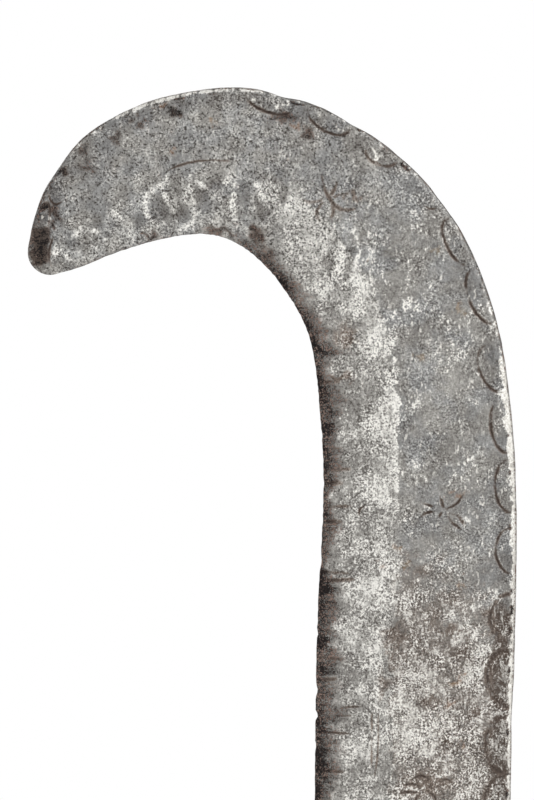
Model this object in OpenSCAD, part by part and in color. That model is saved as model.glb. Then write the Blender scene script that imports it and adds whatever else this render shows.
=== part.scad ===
// Billhook: a forged, hooked blade on a flat tang, with two wooden cheeks riveted through it.
// The blade stands in the XZ plane with its hook towards -X and its thickness along Y.
// The origin is the middle of the grip, and the decorated face looks towards -Y.

/* [Blade outline] */
// Height of the blade from its heel to its crown
blade_height = 277; // [255:1:300]
// Width of the blade between edge and spine, at the heel
blade_width = 65; // [56:1:74]
// Shift of the blade's middle line from the grip's, towards the edge
blade_shift = 1.5; // [0:0.5:4]
// Height of the throat above the heel, where the hook begins
throat_height = 166; // [150:1:180]
// How far the edge draws in below the throat
edge_hollow = 2.8; // [0:0.2:5]
// How far the spine swells behind the throat
spine_swell = 1.9; // [0:0.1:4]
// Reach of the hook's tip beyond the cutting edge
hook_reach = 95.5; // [80:0.5:110]
// Radius of the blunt tip
tip_radius = 7.2; // [5:0.1:9]
// Drop from the crown to the centre of the tip's round
tip_drop = 54.8; // [48:0.2:60]
// Radius of the heel's corner below the edge
heel_edge_radius = 9; // [4:0.5:14]
// Radius of the heel's corner below the spine
heel_spine_radius = 5; // [2:0.5:10]

/* [Blade section] */
// Thickness of the blade at its heel
blade_thickness = 5.6; // [5.4:0.1:8]
// Thickness of the blade at the hook's tip
tip_thickness = 3.4; // [2.4:0.1:5]
// Thickness left along the ground edge
edge_thickness = 0.8; // [0.4:0.1:1.6]
// Width of the ground bevel along the edge
bevel_width = 24; // [14:1:30]
// Width of the bevel where it starts at the heel
heel_bevel = 4; // [2:0.5:8]
// Height over which the bevel opens to its full width
bevel_run = 46; // [25:1:80]
// How far the bevel bellies out from a flat grind, at its middle
bevel_belly = 0.22; // [0.1:0.02:0.5]
// Width of the filed chamfer along the spine
spine_chamfer = 2.2; // [1:0.1:4]
// Depth of that chamfer on each face
spine_chamfer_depth = 0.8; // [0.3:0.1:1.1]

/* [Tang and neck] */
// Thickness of the flat tang
tang_thickness = 5; // [3.5:0.1:5.2]
// Length of bare neck between the cheeks and the heel
neck_length = 20; // [14:1:35]
// Radius of the fillets from the neck into the heel
neck_fillet = 8; // [4:0.5:11]
// Depth to which the neck runs on inside the heel
neck_root = 7; // [4:1:15]

/* [Grip] */
// Length of the wooden cheeks
grip_length = 126; // [110:1:150]
// Width of the grip at its front end
grip_front_width = 27; // [24:0.5:30]
// Width of the grip across its swell
grip_swell_width = 32; // [28:0.5:38]
// Width of the grip at its waist
grip_waist_width = 28.5; // [25:0.5:32]
// Width of the butt, measured over its beak
butt_width = 40; // [34:0.5:46]
// Share of the butt's width that lies on the edge side, in the beak
butt_lean = 0.61; // [0.5:0.01:0.66]
// Radius of the butt's corner under the beak
butt_edge_radius = 9; // [5:0.5:13]
// Radius of the butt's corner at the back
butt_spine_radius = 11; // [5:0.5:13]
// Height of each cheek over the tang
cheek_height = 10.5; // [8:0.5:14]
// Height of a cheek's straight side wall
cheek_wall = 2.6; // [1.5:0.1:4]
// Height of a cheek at its front end
cheek_front_height = 6; // [4.5:0.5:7.5]
// Length over which the front of a cheek is eased down
cheek_front_run = 7; // [4:0.5:8]
// Height of a cheek at the butt
cheek_butt_height = 4.5; // [3.5:0.5:7]
// Length over which a cheek is eased down to the butt
cheek_butt_run = 11; // [6:0.5:12]
// Roundness of a cheek's crown, from 2 for an ellipse towards a square
crown_power = 2.5; // [2:0.1:3.5]

/* [Rivets] */
// Radius of a rivet's shank
rivet_radius = 2.5; // [2:0.1:3]
// Radius of a rivet's peened head
rivet_head_radius = 4.2; // [3.4:0.1:4.8]
// Height of a rivet's peened head
rivet_head_height = 1.9; // [1.2:0.1:2.6]
// Outer radius of a rove, the washer under a rivet's head
rove_radius = 5.5; // [5:0.1:6]
// Thickness of a rove
rove_thickness = 1.1; // [0.8:0.1:1.6]
// Depth of a rove's seat below the crown of the cheek
rove_seat_depth = 0.9; // [0.5:0.1:1.4]
// Clearance around each shank and each rove
rivet_clearance = 0.1; // [0.05:0.01:0.2]
// Distance from the front of the cheeks to the first rivet
first_rivet = 14; // [13.5:0.5:18]
// Distance from the last rivet to the hang hole
last_rivet_gap = 16; // [14:0.5:20]

/* [Hang hole] */
// Radius of the hole through the butt
hang_radius = 4; // [3:0.1:5]
// Distance from the butt's end to the hole
hang_inset = 17; // [15:0.5:22]
// Shift of the hole towards the beak
hang_shift = 2; // [0:0.5:4]
// Radius of the flat faced around the hole on each cheek
hang_face_radius = 6.5; // [6:0.1:7.5]
// Depth of that flat below the crown of the cheek
hang_face_depth = 0.7; // [0.5:0.1:1.2]

/* [Hidden] */
$fn = 64;
RIVETS = 5;

// Colours of the aged iron, the worn wood and the darker fastenings
iron = [0.45, 0.45, 0.44];
wood = [0.36, 0.23, 0.13];
dark_iron = [0.28, 0.26, 0.25];

// Places that follow from the sizes above
grip_top = grip_length / 2;
butt_z = -grip_length / 2;
heel_z = grip_top + neck_length;
edge_x = -blade_shift - blade_width / 2;
spine_x = -blade_shift + blade_width / 2;
hook_rise = blade_height - throat_height;
crown_run = hook_reach + blade_width;
tip_center = [edge_x - hook_reach + tip_radius, blade_height - tip_drop];
tang_face = tang_thickness / 2;
rove_seat = tang_face + cheek_height - rove_seat_depth;
head_seat = rove_seat + rove_thickness;
hang_face = tang_face + cheek_height - hang_face_depth;
hang_place = [-hang_shift, butt_z + hang_inset];
last_rivet_z = hang_place[1] + last_rivet_gap;
first_rivet_z = grip_top - first_rivet;
// Room added to a cut so that it passes right through
over = 1;

// Number of steps between two control points, and round a corner or the tip
rail_steps = 6;
round_steps = 6;
// Least part of an even step that is left between it and the closer steps of a rounded end
step_gap = 0.5;
// Number of points from the middle of a cheek's crown to its side
crown_steps = 6;
// Width of the small flat that closes the tip
tip_flat = 1.2;
// Directions, seen from the tip's centre, at which edge and spine run into the tip's round
tip_edge_angle = 284;
tip_spine_angle = 166;
tip_middle = (tip_edge_angle + tip_spine_angle) / 2;
tip_close = asin(tip_flat / 2 / tip_radius);

function mix(a, b, t) = a + (b - a) * t;

function rivet_z(i) = mix(first_rivet_z, last_rivet_z, (i - 1) / (RIVETS - 1));

function on_tip(angle) = tip_center + tip_radius * [cos(angle), sin(angle)];

// How far a corner of radius r lies inside its square corner, at distance d from the end
function corner_inset(d, r) = d >= r ? 0 : r - sqrt(max(0, r * r - (r - d) * (r - d)));

// Point on a smooth curve through the points p, where u counts the points passed
function curve_point(p, u) =
    let (n = len(p) - 1)
    let (k = min(floor(u), n - 1))
    let (f = u - k)
    let (b = p[k])
    let (c = p[k + 1])
    let (a = k == 0 ? 2 * b - c : p[k - 1])
    let (d = k == n - 1 ? 2 * c - b : p[k + 2])
    0.5 * (2 * b + f * (c - a) + f^2 * (2 * a - 5 * b + 4 * c - d) + f^3 * (3 * b - a - 3 * c + d));

// Triangles of a solid lofted through closed rings of points, with flat ends
function loft_faces(rings, ring_size) = concat(
    [
        for (i = [0 : rings - 2], j = [0 : ring_size - 1])
            let (a = i * ring_size + j)
            let (b = i * ring_size + (j + 1) % ring_size)
            each [[a, b + ring_size, b], [a, a + ring_size, b + ring_size]]
    ],
    [for (j = [1 : ring_size - 2]) [0, j, j + 1]],
    [
        for (j = [1 : ring_size - 2])
            let (o = (rings - 1) * ring_size)
            [o, o + j + 1, o + j]
    ]
);

// Blade rails: each row of control points pairs the edge with the spine across the blade.
// Along the shaft the heights are shares of the throat's, and in the hook of its reach and rise.
function shaft_edge(rise, draw) = [edge_x + draw * edge_hollow, rise * throat_height];
function shaft_spine(rise, swell) = [spine_x + swell * spine_swell, rise * throat_height];
function hook_edge(reach, rise) = [edge_x - reach * hook_reach, throat_height + rise * hook_rise];
function hook_spine(reach, rise) = [spine_x - reach * crown_run, throat_height + rise * hook_rise];

edge_points = [
    shaft_edge(0, 0),
    shaft_edge(0.26, 0),
    shaft_edge(0.58, 0.25),
    shaft_edge(0.84, 1),
    shaft_edge(1, 0.7),
    hook_edge(0.018, 0.252),
    hook_edge(0.126, 0.421),
    hook_edge(0.252, 0.526),
    hook_edge(0.377, 0.564),
    hook_edge(0.534, 0.55),
    hook_edge(0.702, 0.506),
    hook_edge(0.817, 0.466),
    on_tip(tip_edge_angle)
];
spine_points = [
    shaft_spine(0, 0),
    shaft_spine(0.27, 0),
    shaft_spine(0.58, 0.75),
    shaft_spine(0.81, 1),
    shaft_spine(1.012, 0.15),
    hook_spine(0.037, 0.342),
    hook_spine(0.138, 0.653),
    hook_spine(0.316, 0.885),
    hook_spine(0.528, 0.998),
    hook_spine(0.729, 0.973),
    hook_spine(0.873, 0.867),
    hook_spine(0.96, 0.714),
    on_tip(tip_spine_angle)
];
rows = len(edge_points) - 1;

// Steps up the blade: close together round the heel's corners, then even along the rails
heel_share = max(heel_edge_radius, heel_spine_radius) / edge_points[1][1];
blade_steps = concat(
    [for (k = [0 : round_steps]) heel_share * (1 - cos(90 * k / round_steps))],
    [for (k = [ceil(heel_share * rail_steps + step_gap) : rows * rail_steps]) k / rail_steps]
);

function edge_rail(u) =
    let (p = curve_point(edge_points, u))
    p + [corner_inset(p[1], heel_edge_radius), 0];
function spine_rail(u) =
    let (p = curve_point(spine_points, u))
    p - [corner_inset(p[1], heel_spine_radius), 0];

// Each station is an edge point and the spine point across from it, and the tip's round ends them
tip_steps = [for (k = [1 : round_steps]) k / round_steps];
stations = concat(
    [for (u = blade_steps) [edge_rail(u), spine_rail(u)]],
    [
        for (t = tip_steps)
            [
                on_tip(mix(tip_edge_angle, tip_middle + tip_close, t)),
                on_tip(mix(tip_spine_angle, tip_middle - tip_close, t))
            ]
    ]
);

// Section of the blade at one station, as [distance from the edge, half thickness] up one face
function half_section(width, height, thickness) =
    let (open = min(1, height / bevel_run))
    let (chamfer = min(spine_chamfer, width / 5))
    let (bevel = min(mix(heel_bevel, bevel_width, sin(90 * open)), width / 2))
    let (edge_half = min(edge_thickness, thickness) / 2)
    let (full = thickness / 2)
    let (chamfer_half = full - min(spine_chamfer_depth, full / 2))
    [
        [0, edge_half],
        [bevel / 2, (edge_half + full) / 2 + bevel_belly * min(1, bevel / bevel_width)],
        [bevel, full],
        [width - chamfer, full],
        [width, chamfer_half]
    ];

function station_ring(i) =
    let (from = stations[i][0])
    let (to = stations[i][1])
    let (width = norm(to - from))
    let (across = (to - from) / width)
    let (thickness = mix(blade_thickness, tip_thickness, i / (len(stations) - 1)))
    let (half = half_section(width, from[1], thickness))
    let (last = len(half) - 1)
    concat(
        [for (h = half) let (p = from + across * h[0]) [p[0], -h[1], heel_z + p[1]]],
        [
            for (k = [last : -1 : 0])
                let (p = from + across * half[k][0])
                [p[0], half[k][1], heel_z + p[1]]
        ]
    );

ring_size = 2 * len(half_section(blade_width, 0, blade_thickness));

module forged_blade() {
    polyhedron(
        points = [for (i = [0 : len(stations) - 1]) each station_ring(i)],
        faces = loft_faces(len(stations), ring_size)
    );
}

// Grip outline, shared by the tang and both cheeks: rows of [height, edge half, spine half]
function grip_row(rise, width, lean) = [mix(butt_z, grip_top, rise), width * lean, width * (1 - lean)];
grip_rows = [
    grip_row(1, grip_front_width, 0.5),
    grip_row(0.7, grip_swell_width, 0.51),
    grip_row(0.4, grip_waist_width, 0.5),
    grip_row(0.2, mix(grip_waist_width, butt_width, 0.2), mix(0.5, butt_lean, 0.4)),
    grip_row(0, butt_width, butt_lean)
];
grip_spans = len(grip_rows) - 1;
butt_share = max(butt_edge_radius, butt_spine_radius) / (grip_rows[grip_spans - 1][0] - butt_z);
front_share = cheek_front_run / (grip_top - grip_rows[1][0]);
grip_first = ceil(front_share * rail_steps + step_gap);
grip_last = floor((grip_spans - butt_share) * rail_steps - step_gap);
grip_steps = concat(
    [for (k = [0 : round_steps]) front_share * (1 - cos(90 * k / round_steps))],
    [for (k = [grip_first : grip_last]) k / rail_steps],
    [for (k = [round_steps : -1 : 0]) grip_spans - butt_share * (1 - cos(90 * k / round_steps))]
);

function grip_station(u) =
    let (g = curve_point(grip_rows, u))
    let (d = max(0, g[0] - butt_z))
    [
        g[0],
        -g[1] + corner_inset(d, butt_edge_radius),
        g[2] - corner_inset(d, butt_spine_radius)
    ];
grip_stations = [for (u = grip_steps) grip_station(u)];

// Neck outline on the spine side, from inside the heel down its fillet
neck_half = grip_front_width / 2;
fillet_sink = neck_root / 5;
fillet_top = heel_z + fillet_sink;
neck_curve = concat(
    [[neck_half + neck_fillet, heel_z + neck_root]],
    [
        for (k = [round_steps : -1 : 0])
            let (a = 90 * k / round_steps)
            [neck_half + neck_fillet * (1 - cos(a)), fillet_top - neck_fillet * (1 - sin(a))]
    ]
);
tang_outline = concat(
    neck_curve,
    [for (g = grip_stations) [g[2], g[0]]],
    [for (k = [len(grip_stations) - 1 : -1 : 0]) [grip_stations[k][1], grip_stations[k][0]]],
    [for (k = [len(neck_curve) - 1 : -1 : 0]) [-neck_curve[k][0], neck_curve[k][1]]]
);

module flat_tang() {
    rotate([90, 0, 0])
        linear_extrude(tang_thickness, center = true)
            polygon(tang_outline);
}

// Cheek height along the grip, eased down in a quarter ellipse at both ends
function eased(low, high, d, run) = d >= run ? high : low + (high - low) * sqrt(1 - (1 - d / run)^2);
function cheek_crown(z) = min(
    eased(cheek_front_height, cheek_height, max(0, grip_top - z), cheek_front_run),
    eased(cheek_butt_height, cheek_height, max(0, z - butt_z), cheek_butt_run)
);

// Points across a cheek, from -1 at the edge side to 1 at the spine side
crown_spread = [for (k = [-crown_steps : crown_steps]) sin(90 * k / crown_steps)];
cheek_ring_size = len(crown_spread) + 2;
function cheek_ring(g) =
    let (middle = (g[1] + g[2]) / 2)
    let (half = (g[2] - g[1]) / 2)
    let (crown = cheek_crown(g[0]) - cheek_wall)
    let (wall = tang_face + cheek_wall)
    concat(
        [[g[1], -tang_face, g[0]]],
        [
            for (s = crown_spread)
                let (bulge = (1 - min(1, abs(s))^crown_power)^(1 / crown_power))
                [middle + half * s, -wall - crown * bulge, g[0]]
        ],
        [[g[2], -tang_face, g[0]]]
    );

// Cylinder along Y at [x, z] that runs between two depths
module along_y(place, radius, from, to) {
    translate([place[0], from, place[1]])
        rotate([-90, 0, 0])
            cylinder(r = radius, h = to - from);
}

// Holes for the shanks and the hang hole, through everything
module grip_holes() {
    reach = hang_face + rivet_head_height + over;
    for (i = [1 : RIVETS])
        along_y([0, rivet_z(i)], rivet_radius + rivet_clearance, -reach, reach);
    along_y(hang_place, hang_radius, -reach, reach);
}

// Seats for the roves and the flat around the hang hole, on the front cheek
module cheek_seats() {
    outside = hang_face + cheek_height;
    for (i = [1 : RIVETS])
        along_y([0, rivet_z(i)], rove_radius + rivet_clearance, -outside, -rove_seat);
    along_y(hang_place, hang_face_radius, -outside, -hang_face);
}

module blade() {
    color(iron)
        difference() {
            union() {
                forged_blade();
                flat_tang();
            }
            grip_holes();
        }
}

module cheek() {
    difference() {
        polyhedron(
            points = [for (g = grip_stations) each cheek_ring(g)],
            faces = loft_faces(len(grip_stations), cheek_ring_size)
        );
        grip_holes();
        cheek_seats();
    }
}

module cheek_front() {
    color(wood)
        cheek();
}

module cheek_back() {
    color(wood)
        mirror([0, 1, 0])
            cheek();
}

// Peened head, a cap of a sphere that stands on the rove of the back cheek
module rivet_head() {
    ball = (rivet_head_radius^2 + rivet_head_height^2) / (2 * rivet_head_height);
    intersection() {
        translate([0, head_seat + rivet_head_height - ball, 0])
            sphere(r = ball);
        along_y([0, 0], rivet_head_radius + over, head_seat, head_seat + rivet_head_height + over);
    }
}

module rivet(i) {
    color(dark_iron)
        translate([0, 0, rivet_z(i)]) {
            along_y([0, 0], rivet_radius, -head_seat - rivet_clearance, head_seat + rivet_clearance);
            rivet_head();
            mirror([0, 1, 0])
                rivet_head();
        }
}

// One rove on the front cheek, and its mirror image on the back one
module rove(i) {
    color(dark_iron)
        translate([0, 0, rivet_z(i)])
            difference() {
                along_y([0, 0], rove_radius, -head_seat, -rove_seat);
                along_y([0, 0], rivet_radius + rivet_clearance, -head_seat - over, -rove_seat + over);
            }
}

blade();
cheek_front();
cheek_back();
for (i = [1 : RIVETS]) {
    rivet(i);
    rove(i);
    mirror([0, 1, 0]) rove(i);
}
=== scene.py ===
# %% [markdown]
# # A forged billhook, dressed round its CAD frame
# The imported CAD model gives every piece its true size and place, and this lesson gives each its looks.
# All lengths are written in millimetres in the CAD's own frame: +Z up the tool, -X the way the hook
# points, and -Y out of the face that carries the smith's punch marks. Blender works in metres, so `MM`
# converts.

# %% Load the frame
import math
from functools import partial

import bpy
import numpy as np
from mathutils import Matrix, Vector
from mathutils.bvhtree import BVHTree


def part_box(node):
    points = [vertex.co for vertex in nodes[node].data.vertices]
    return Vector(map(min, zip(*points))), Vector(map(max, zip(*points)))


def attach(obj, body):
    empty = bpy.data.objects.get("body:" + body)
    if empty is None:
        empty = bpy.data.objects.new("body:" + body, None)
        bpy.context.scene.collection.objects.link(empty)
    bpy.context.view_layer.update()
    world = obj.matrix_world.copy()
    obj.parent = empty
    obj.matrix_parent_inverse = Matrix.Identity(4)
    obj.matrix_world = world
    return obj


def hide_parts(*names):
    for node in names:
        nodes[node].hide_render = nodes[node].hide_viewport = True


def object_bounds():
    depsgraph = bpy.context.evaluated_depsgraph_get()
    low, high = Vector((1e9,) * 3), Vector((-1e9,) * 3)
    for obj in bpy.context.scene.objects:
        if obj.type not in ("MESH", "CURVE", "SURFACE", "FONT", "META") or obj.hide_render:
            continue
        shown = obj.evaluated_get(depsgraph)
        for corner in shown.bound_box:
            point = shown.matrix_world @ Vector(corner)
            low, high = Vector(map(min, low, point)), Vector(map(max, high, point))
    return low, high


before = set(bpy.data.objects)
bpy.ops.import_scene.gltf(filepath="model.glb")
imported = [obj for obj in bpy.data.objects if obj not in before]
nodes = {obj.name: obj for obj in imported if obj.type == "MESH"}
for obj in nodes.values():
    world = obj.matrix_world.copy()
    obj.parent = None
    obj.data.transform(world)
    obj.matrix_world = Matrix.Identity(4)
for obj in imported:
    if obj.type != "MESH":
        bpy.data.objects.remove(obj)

MM = 0.001
scene = bpy.context.scene
cad_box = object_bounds()
print("frame holds", len(nodes), "pieces, box", [[round(c, 4) for c in corner] for corner in cad_box])


# %% [markdown]
# ## The camera
# The photograph looks squarely at the blade's face, and nothing in it converges, so it was taken from
# far away. A long lens does the same. The picture is 800 pixels high, and the blade's 65 mm of width
# cover 195 of them, which makes three pixels a millimetre: the lens follows from that, and no shift is
# needed.

# %% Camera
PIXELS_HIGH = 800
PIXELS_PER_MM = 3.0
PICTURE_HEIGHT = PIXELS_HIGH / PIXELS_PER_MM * MM
PICTURE_CENTRE = Vector((-50.0, 0.0, 256.3)) * MM
CAMERA_DISTANCE = 1.5       # metres

lens_data = bpy.data.cameras.new("long_lens")
lens_data.lens = lens_data.sensor_width * CAMERA_DISTANCE / PICTURE_HEIGHT
camera = bpy.data.objects.new("camera", lens_data)
scene.collection.objects.link(camera)
camera.location = PICTURE_CENTRE - Vector((0, CAMERA_DISTANCE, 0))
camera.rotation_euler = (math.radians(90), 0, 0)
scene.camera = camera
print("lens", round(lens_data.lens, 1), "mm")


# %% [markdown]
# ## Studio light
# The photograph is lit flatly, with a white ground and a little more light from the upper right, where
# the spine's chamfer shines. Small lamps would draw hard highlights on the iron, so large area lights
# give the softness. The world shows white to the camera and lends a weaker grey to the metal, which
# would otherwise be washed out.

# %% Lights and world
AIM = Vector((-0.03, 0.0, 0.2))
LIGHTS = {      # place and size in metres, and power
    "front_softbox": ((-0.5, -2.2, 0.7), 2.0, 11.5),
    "right_softbox": ((1.5, -1.5, 1.3), 1.2, 24),
    "back_softbox": ((-1.2, 2.0, 1.2), 1.6, 40),
    "left_fill": ((-2.0, -0.3, 0.8), 1.4, 14),
}
FILL_COLOUR = (0.86, 0.88, 0.9, 1)
FILL_STRENGTH = 0.52
GROUND_COLOUR = (1, 1, 1, 1)

for name, (place, size, power) in LIGHTS.items():
    lamp = bpy.data.lights.new(name, "AREA")
    lamp.size = size
    lamp.energy = power
    holder = bpy.data.objects.new(name, lamp)
    holder.location = place
    holder.rotation_euler = (AIM - Vector(place)).to_track_quat("-Z", "Y").to_euler()
    scene.collection.objects.link(holder)

world = bpy.data.worlds.new("studio")
scene.world = world
world.use_nodes = True
sky = world.node_tree
fill = sky.nodes["Background"]
fill.inputs["Color"].default_value = FILL_COLOUR
fill.inputs["Strength"].default_value = FILL_STRENGTH
ground = sky.nodes.new("ShaderNodeBackground")
ground.inputs["Color"].default_value = GROUND_COLOUR
ray = sky.nodes.new("ShaderNodeLightPath")
choose = sky.nodes.new("ShaderNodeMixShader")
sky.links.new(ray.outputs["Is Camera Ray"], choose.inputs["Fac"])
sky.links.new(fill.outputs["Background"], choose.inputs[1])
sky.links.new(ground.outputs["Background"], choose.inputs[2])
sky.links.new(choose.outputs["Shader"], sky.nodes["World Output"].inputs["Surface"])
scene.view_settings.view_transform = "Standard"
print("lights", ", ".join(LIGHTS))


# %% [markdown]
# ## Nodes for the finishes
# Every finish below is a few noises, ramps and mixes. These helpers add one node each, and take either
# a socket to link or a plain value to set, so that a finish reads as a recipe. A socket knows the node
# tree it belongs to, as its `id_data`, so the tree needn't be handed along.

# %% Colours and sockets
def tint(red, green, blue):
    """A colour as a picture editor shows it, 0 to 255, turned into the shader's linear values."""
    shares = [c / 255 for c in (red, green, blue)]
    linear = [((c + 0.055) / 1.055) ** 2.4 if c > 0.04 else c / 12.92 for c in shares]
    return (*linear, 1.0)


def feed(value, socket):
    """Link a socket to an input, or set the input to a plain value."""
    if isinstance(value, bpy.types.NodeSocket):
        socket.id_data.links.new(value, socket)
    else:
        socket.default_value = value


def new_finish(name):
    """A material with its node tree, its shader and its Object coordinates."""
    finish = bpy.data.materials.new(name)
    finish.use_nodes = True
    tree = finish.node_tree
    place = tree.nodes.new("ShaderNodeTexCoord").outputs["Object"]
    return finish, tree, tree.nodes["Principled BSDF"], place


def measure(tree, name):
    """A number stored on the mesh's points."""
    reader = tree.nodes.new("ShaderNodeAttribute")
    reader.attribute_name = name
    return reader.outputs["Fac"]


print("a grey of 128 is", round(tint(128, 128, 128)[0], 3), "in the shader's linear values")

# %% Coordinates, noise and arithmetic
def stretch(place, scale, shift=(0, 0, 0)):
    """Coordinates drawn out or squeezed along each axis, and then shifted."""
    mapping = place.id_data.nodes.new("ShaderNodeMapping")
    mapping.inputs["Scale"].default_value = scale
    mapping.inputs["Location"].default_value = shift
    feed(place, mapping.inputs["Vector"])
    return mapping.outputs["Vector"]


def noise(place, grain_mm, detail=2.0, roughness=0.55):
    """Cloudy noise whose lumps are about grain_mm across."""
    texture = place.id_data.nodes.new("ShaderNodeTexNoise")
    texture.inputs["Scale"].default_value = 1 / (grain_mm * MM)
    texture.inputs["Detail"].default_value = detail
    texture.inputs["Roughness"].default_value = roughness
    feed(place, texture.inputs["Vector"])
    return texture.outputs["Fac"]


def arithmetic(operation, total, *values):
    """Work values into a socket by one operation, from left to right."""
    for value in values:
        step = total.id_data.nodes.new("ShaderNodeMath")
        step.operation = operation
        feed(total, step.inputs[0])
        feed(value, step.inputs[1])
        total = step.outputs["Value"]
    return total


add, minus, times = (partial(arithmetic, operation) for operation in ("ADD", "SUBTRACT", "MULTIPLY"))
larger, smaller = (partial(arithmetic, operation) for operation in ("MAXIMUM", "MINIMUM"))
print("arithmetic is ready in", len((add, minus, times, larger, smaller)), "operations")

# %% Ranges, ramps, mixes and relief
def between(value, low, high, to_low=0.0, to_high=1.0):
    """Spread the values from low to high over a new range, and hold them there."""
    spread = value.id_data.nodes.new("ShaderNodeMapRange")
    feed(value, spread.inputs["Value"])
    for socket, number in zip(("From Min", "From Max", "To Min", "To Max"), (low, high, to_low, to_high)):
        spread.inputs[socket].default_value = number
    return spread.outputs["Result"]


def ramp(value, *stops):
    """Colours laid out along a value: each stop is a position and the red, green and blue of a tint."""
    band = value.id_data.nodes.new("ShaderNodeValToRGB")
    feed(value, band.inputs["Fac"])
    while len(band.color_ramp.elements) < len(stops):
        band.color_ramp.elements.new(0.5)
    for element, (position, *colour) in zip(band.color_ramp.elements, stops):
        element.position = position
        element.color = tint(*colour)
    return band.outputs["Color"]


def mix(share, first, second):
    """Lay the second colour over the first, by a share."""
    layer = share.id_data.nodes.new("ShaderNodeMix")
    layer.data_type = "RGBA"
    feed(share, layer.inputs[0])
    feed(first, layer.inputs[6])
    feed(second, layer.inputs[7])
    return layer.outputs[2]


def relief(height, depth_mm, strength, shader):
    """Roughen a shader's surface by a height between 0 and 1, over a depth in millimetres."""
    bump = height.id_data.nodes.new("ShaderNodeBump")
    bump.inputs["Strength"].default_value = strength
    bump.inputs["Distance"].default_value = depth_mm * MM
    feed(height, bump.inputs["Height"])
    feed(bump.outputs["Normal"], shader.inputs["Normal"])


print("helpers are ready to mix a finish")


# %% [markdown]
# ## The floor
# The tool stands upright on a plain pale floor. A large plane would do, but its far edge would draw a
# line across the white ground in the low views. So the floor is a disc under the butt of the grip, and
# its finish fades out from the middle to the rim.

# %% Floor
FLOOR_RADIUS = 1.7      # metres
FADE_FROM, FADE_TO = 0.3 * FLOOR_RADIUS, 0.95 * FLOOR_RADIUS

bpy.ops.object.select_all(action="DESELECT")
bpy.ops.mesh.primitive_circle_add(vertices=128, radius=FLOOR_RADIUS, fill_type="NGON",
                                  location=(0, 0, cad_box[0][2]))
floor = bpy.context.object
floor.name = "floor"
bpy.ops.object.transform_apply(location=True)

finish, tree, shader, place = new_finish("pale_floor")
feed(ramp(noise(place, 160, 3), (0.3, 236, 236, 235), (0.7, 242, 242, 241)), shader.inputs["Base Color"])
shader.inputs["Roughness"].default_value = 0.8
from_middle = tree.nodes.new("ShaderNodeVectorMath")
from_middle.operation = "LENGTH"
feed(place, from_middle.inputs[0])
solid = between(from_middle.outputs["Value"], FADE_FROM, FADE_TO, 1.0, 0.0)
solid.node.interpolation_type = "SMOOTHSTEP"
feed(solid, shader.inputs["Alpha"])
floor.data.materials.append(finish)
print("floor at", round(floor.data.vertices[0].co.z, 4), "m")


# %% [markdown]
# ## Measuring the forged blade
# The blade is a bar drawn out and curled over: its edge and its spine run side by side from the heel to
# the tip. So its mesh should run that way too, with rows across the bar and columns along it, and not
# lie in a plain up-and-down grid that would cut the curves into steps. A line down the middle is drawn,
# and from it rays are shot at the CAD blade: left to the edge, right to the spine, and through
# its face for the thickness.

# %% Middle line and rows
NECK_LENGTH = 20.0
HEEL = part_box("cheek_front")[1].z / MM + NECK_LENGTH
HEEL_CORNER = 5.0
# places across, and up from the heel
MIDDLE_LINE = [(-1.5, 0.03), (-1.3, 100), (0.5, 150), (-3, 190), (-18, 225), (-40, 245), (-62, 252.5),
               (-85, 250), (-105, 241), (-118, 229), (-124.2, 219.2)]
ROWS = 320
CURVE_STEPS = 60        # short straight steps for each point that a curve is drawn through


def smooth_curve(points, steps):
    """Places on a smooth curve through a few points, at even steps or at given distances along it."""
    points = np.array(points, float)
    knots = np.concatenate([[0], np.cumsum(np.linalg.norm(np.diff(points, axis=0), axis=1))])
    slopes = np.gradient(points, knots, axis=0)
    fine = np.linspace(0, knots[-1], CURVE_STEPS * len(points))
    i = np.clip(np.searchsorted(knots, fine, side="right") - 1, 0, len(knots) - 2)
    span = (knots[i + 1] - knots[i])[:, None]
    t = (fine - knots[i])[:, None] / span
    curve = ((2 * t**3 - 3 * t**2 + 1) * points[i] + (t**3 - 2 * t**2 + t) * span * slopes[i]
             + (3 * t**2 - 2 * t**3) * points[i + 1] + (t**3 - t**2) * span * slopes[i + 1])
    run = np.concatenate([[0], np.cumsum(np.linalg.norm(np.diff(curve, axis=0), axis=1))])
    even = steps(run[-1]) if callable(steps) else np.linspace(0, run[-1], steps)
    return np.stack([np.interp(even, run, curve[:, axis]) for axis in (0, 1)], axis=1), even


def blade_rows(length):
    """Distances of the rows: by the angle round the heel's corner at first, and then even."""
    corner = HEEL_CORNER * (1 - np.cos(np.radians(np.arange(0, 90, 15))))
    return np.concatenate([corner, np.linspace(HEEL_CORNER, length, ROWS + 1 - len(corner))])


middle, row_at = smooth_curve([(x, z + HEEL) for x, z in MIDDLE_LINE], blade_rows)
ways = np.gradient(middle, row_at, axis=0)
ways /= np.linalg.norm(ways, axis=1)[:, None]
print("rows", len(row_at), "over", round(row_at[-1], 1), "mm")

# %% Edge, spine and columns
COLUMNS = 64
CROWDING = 0.6          # how much closer the columns lie at the edge and the spine
TIP_RUN = 14.0          # length over which the rows bow out into the round tip

cad_blade = BVHTree.FromObject(nodes["blade"], bpy.context.evaluated_depsgraph_get())


def shoot(place, way):
    """How far the CAD blade reaches from a place in its middle plane, one way."""
    hit = cad_blade.ray_cast(Vector((place[0], 0, place[1])) * MM, Vector((way[0], 0, way[1])))
    return hit[3] / MM


def ease(values, low, high):
    """A smooth step from 0 at low to 1 at high."""
    t = np.clip((values - low) / (high - low), 0, 1)
    return t * t * (3 - 2 * t)


to_edge = np.stack([-ways[:, 1], ways[:, 0]], axis=1)
edge = np.array([p + n * shoot(p, n) for p, n in zip(middle, to_edge)])
spine = np.array([p - n * shoot(p, -n) for p, n in zip(middle, to_edge)])

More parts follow.
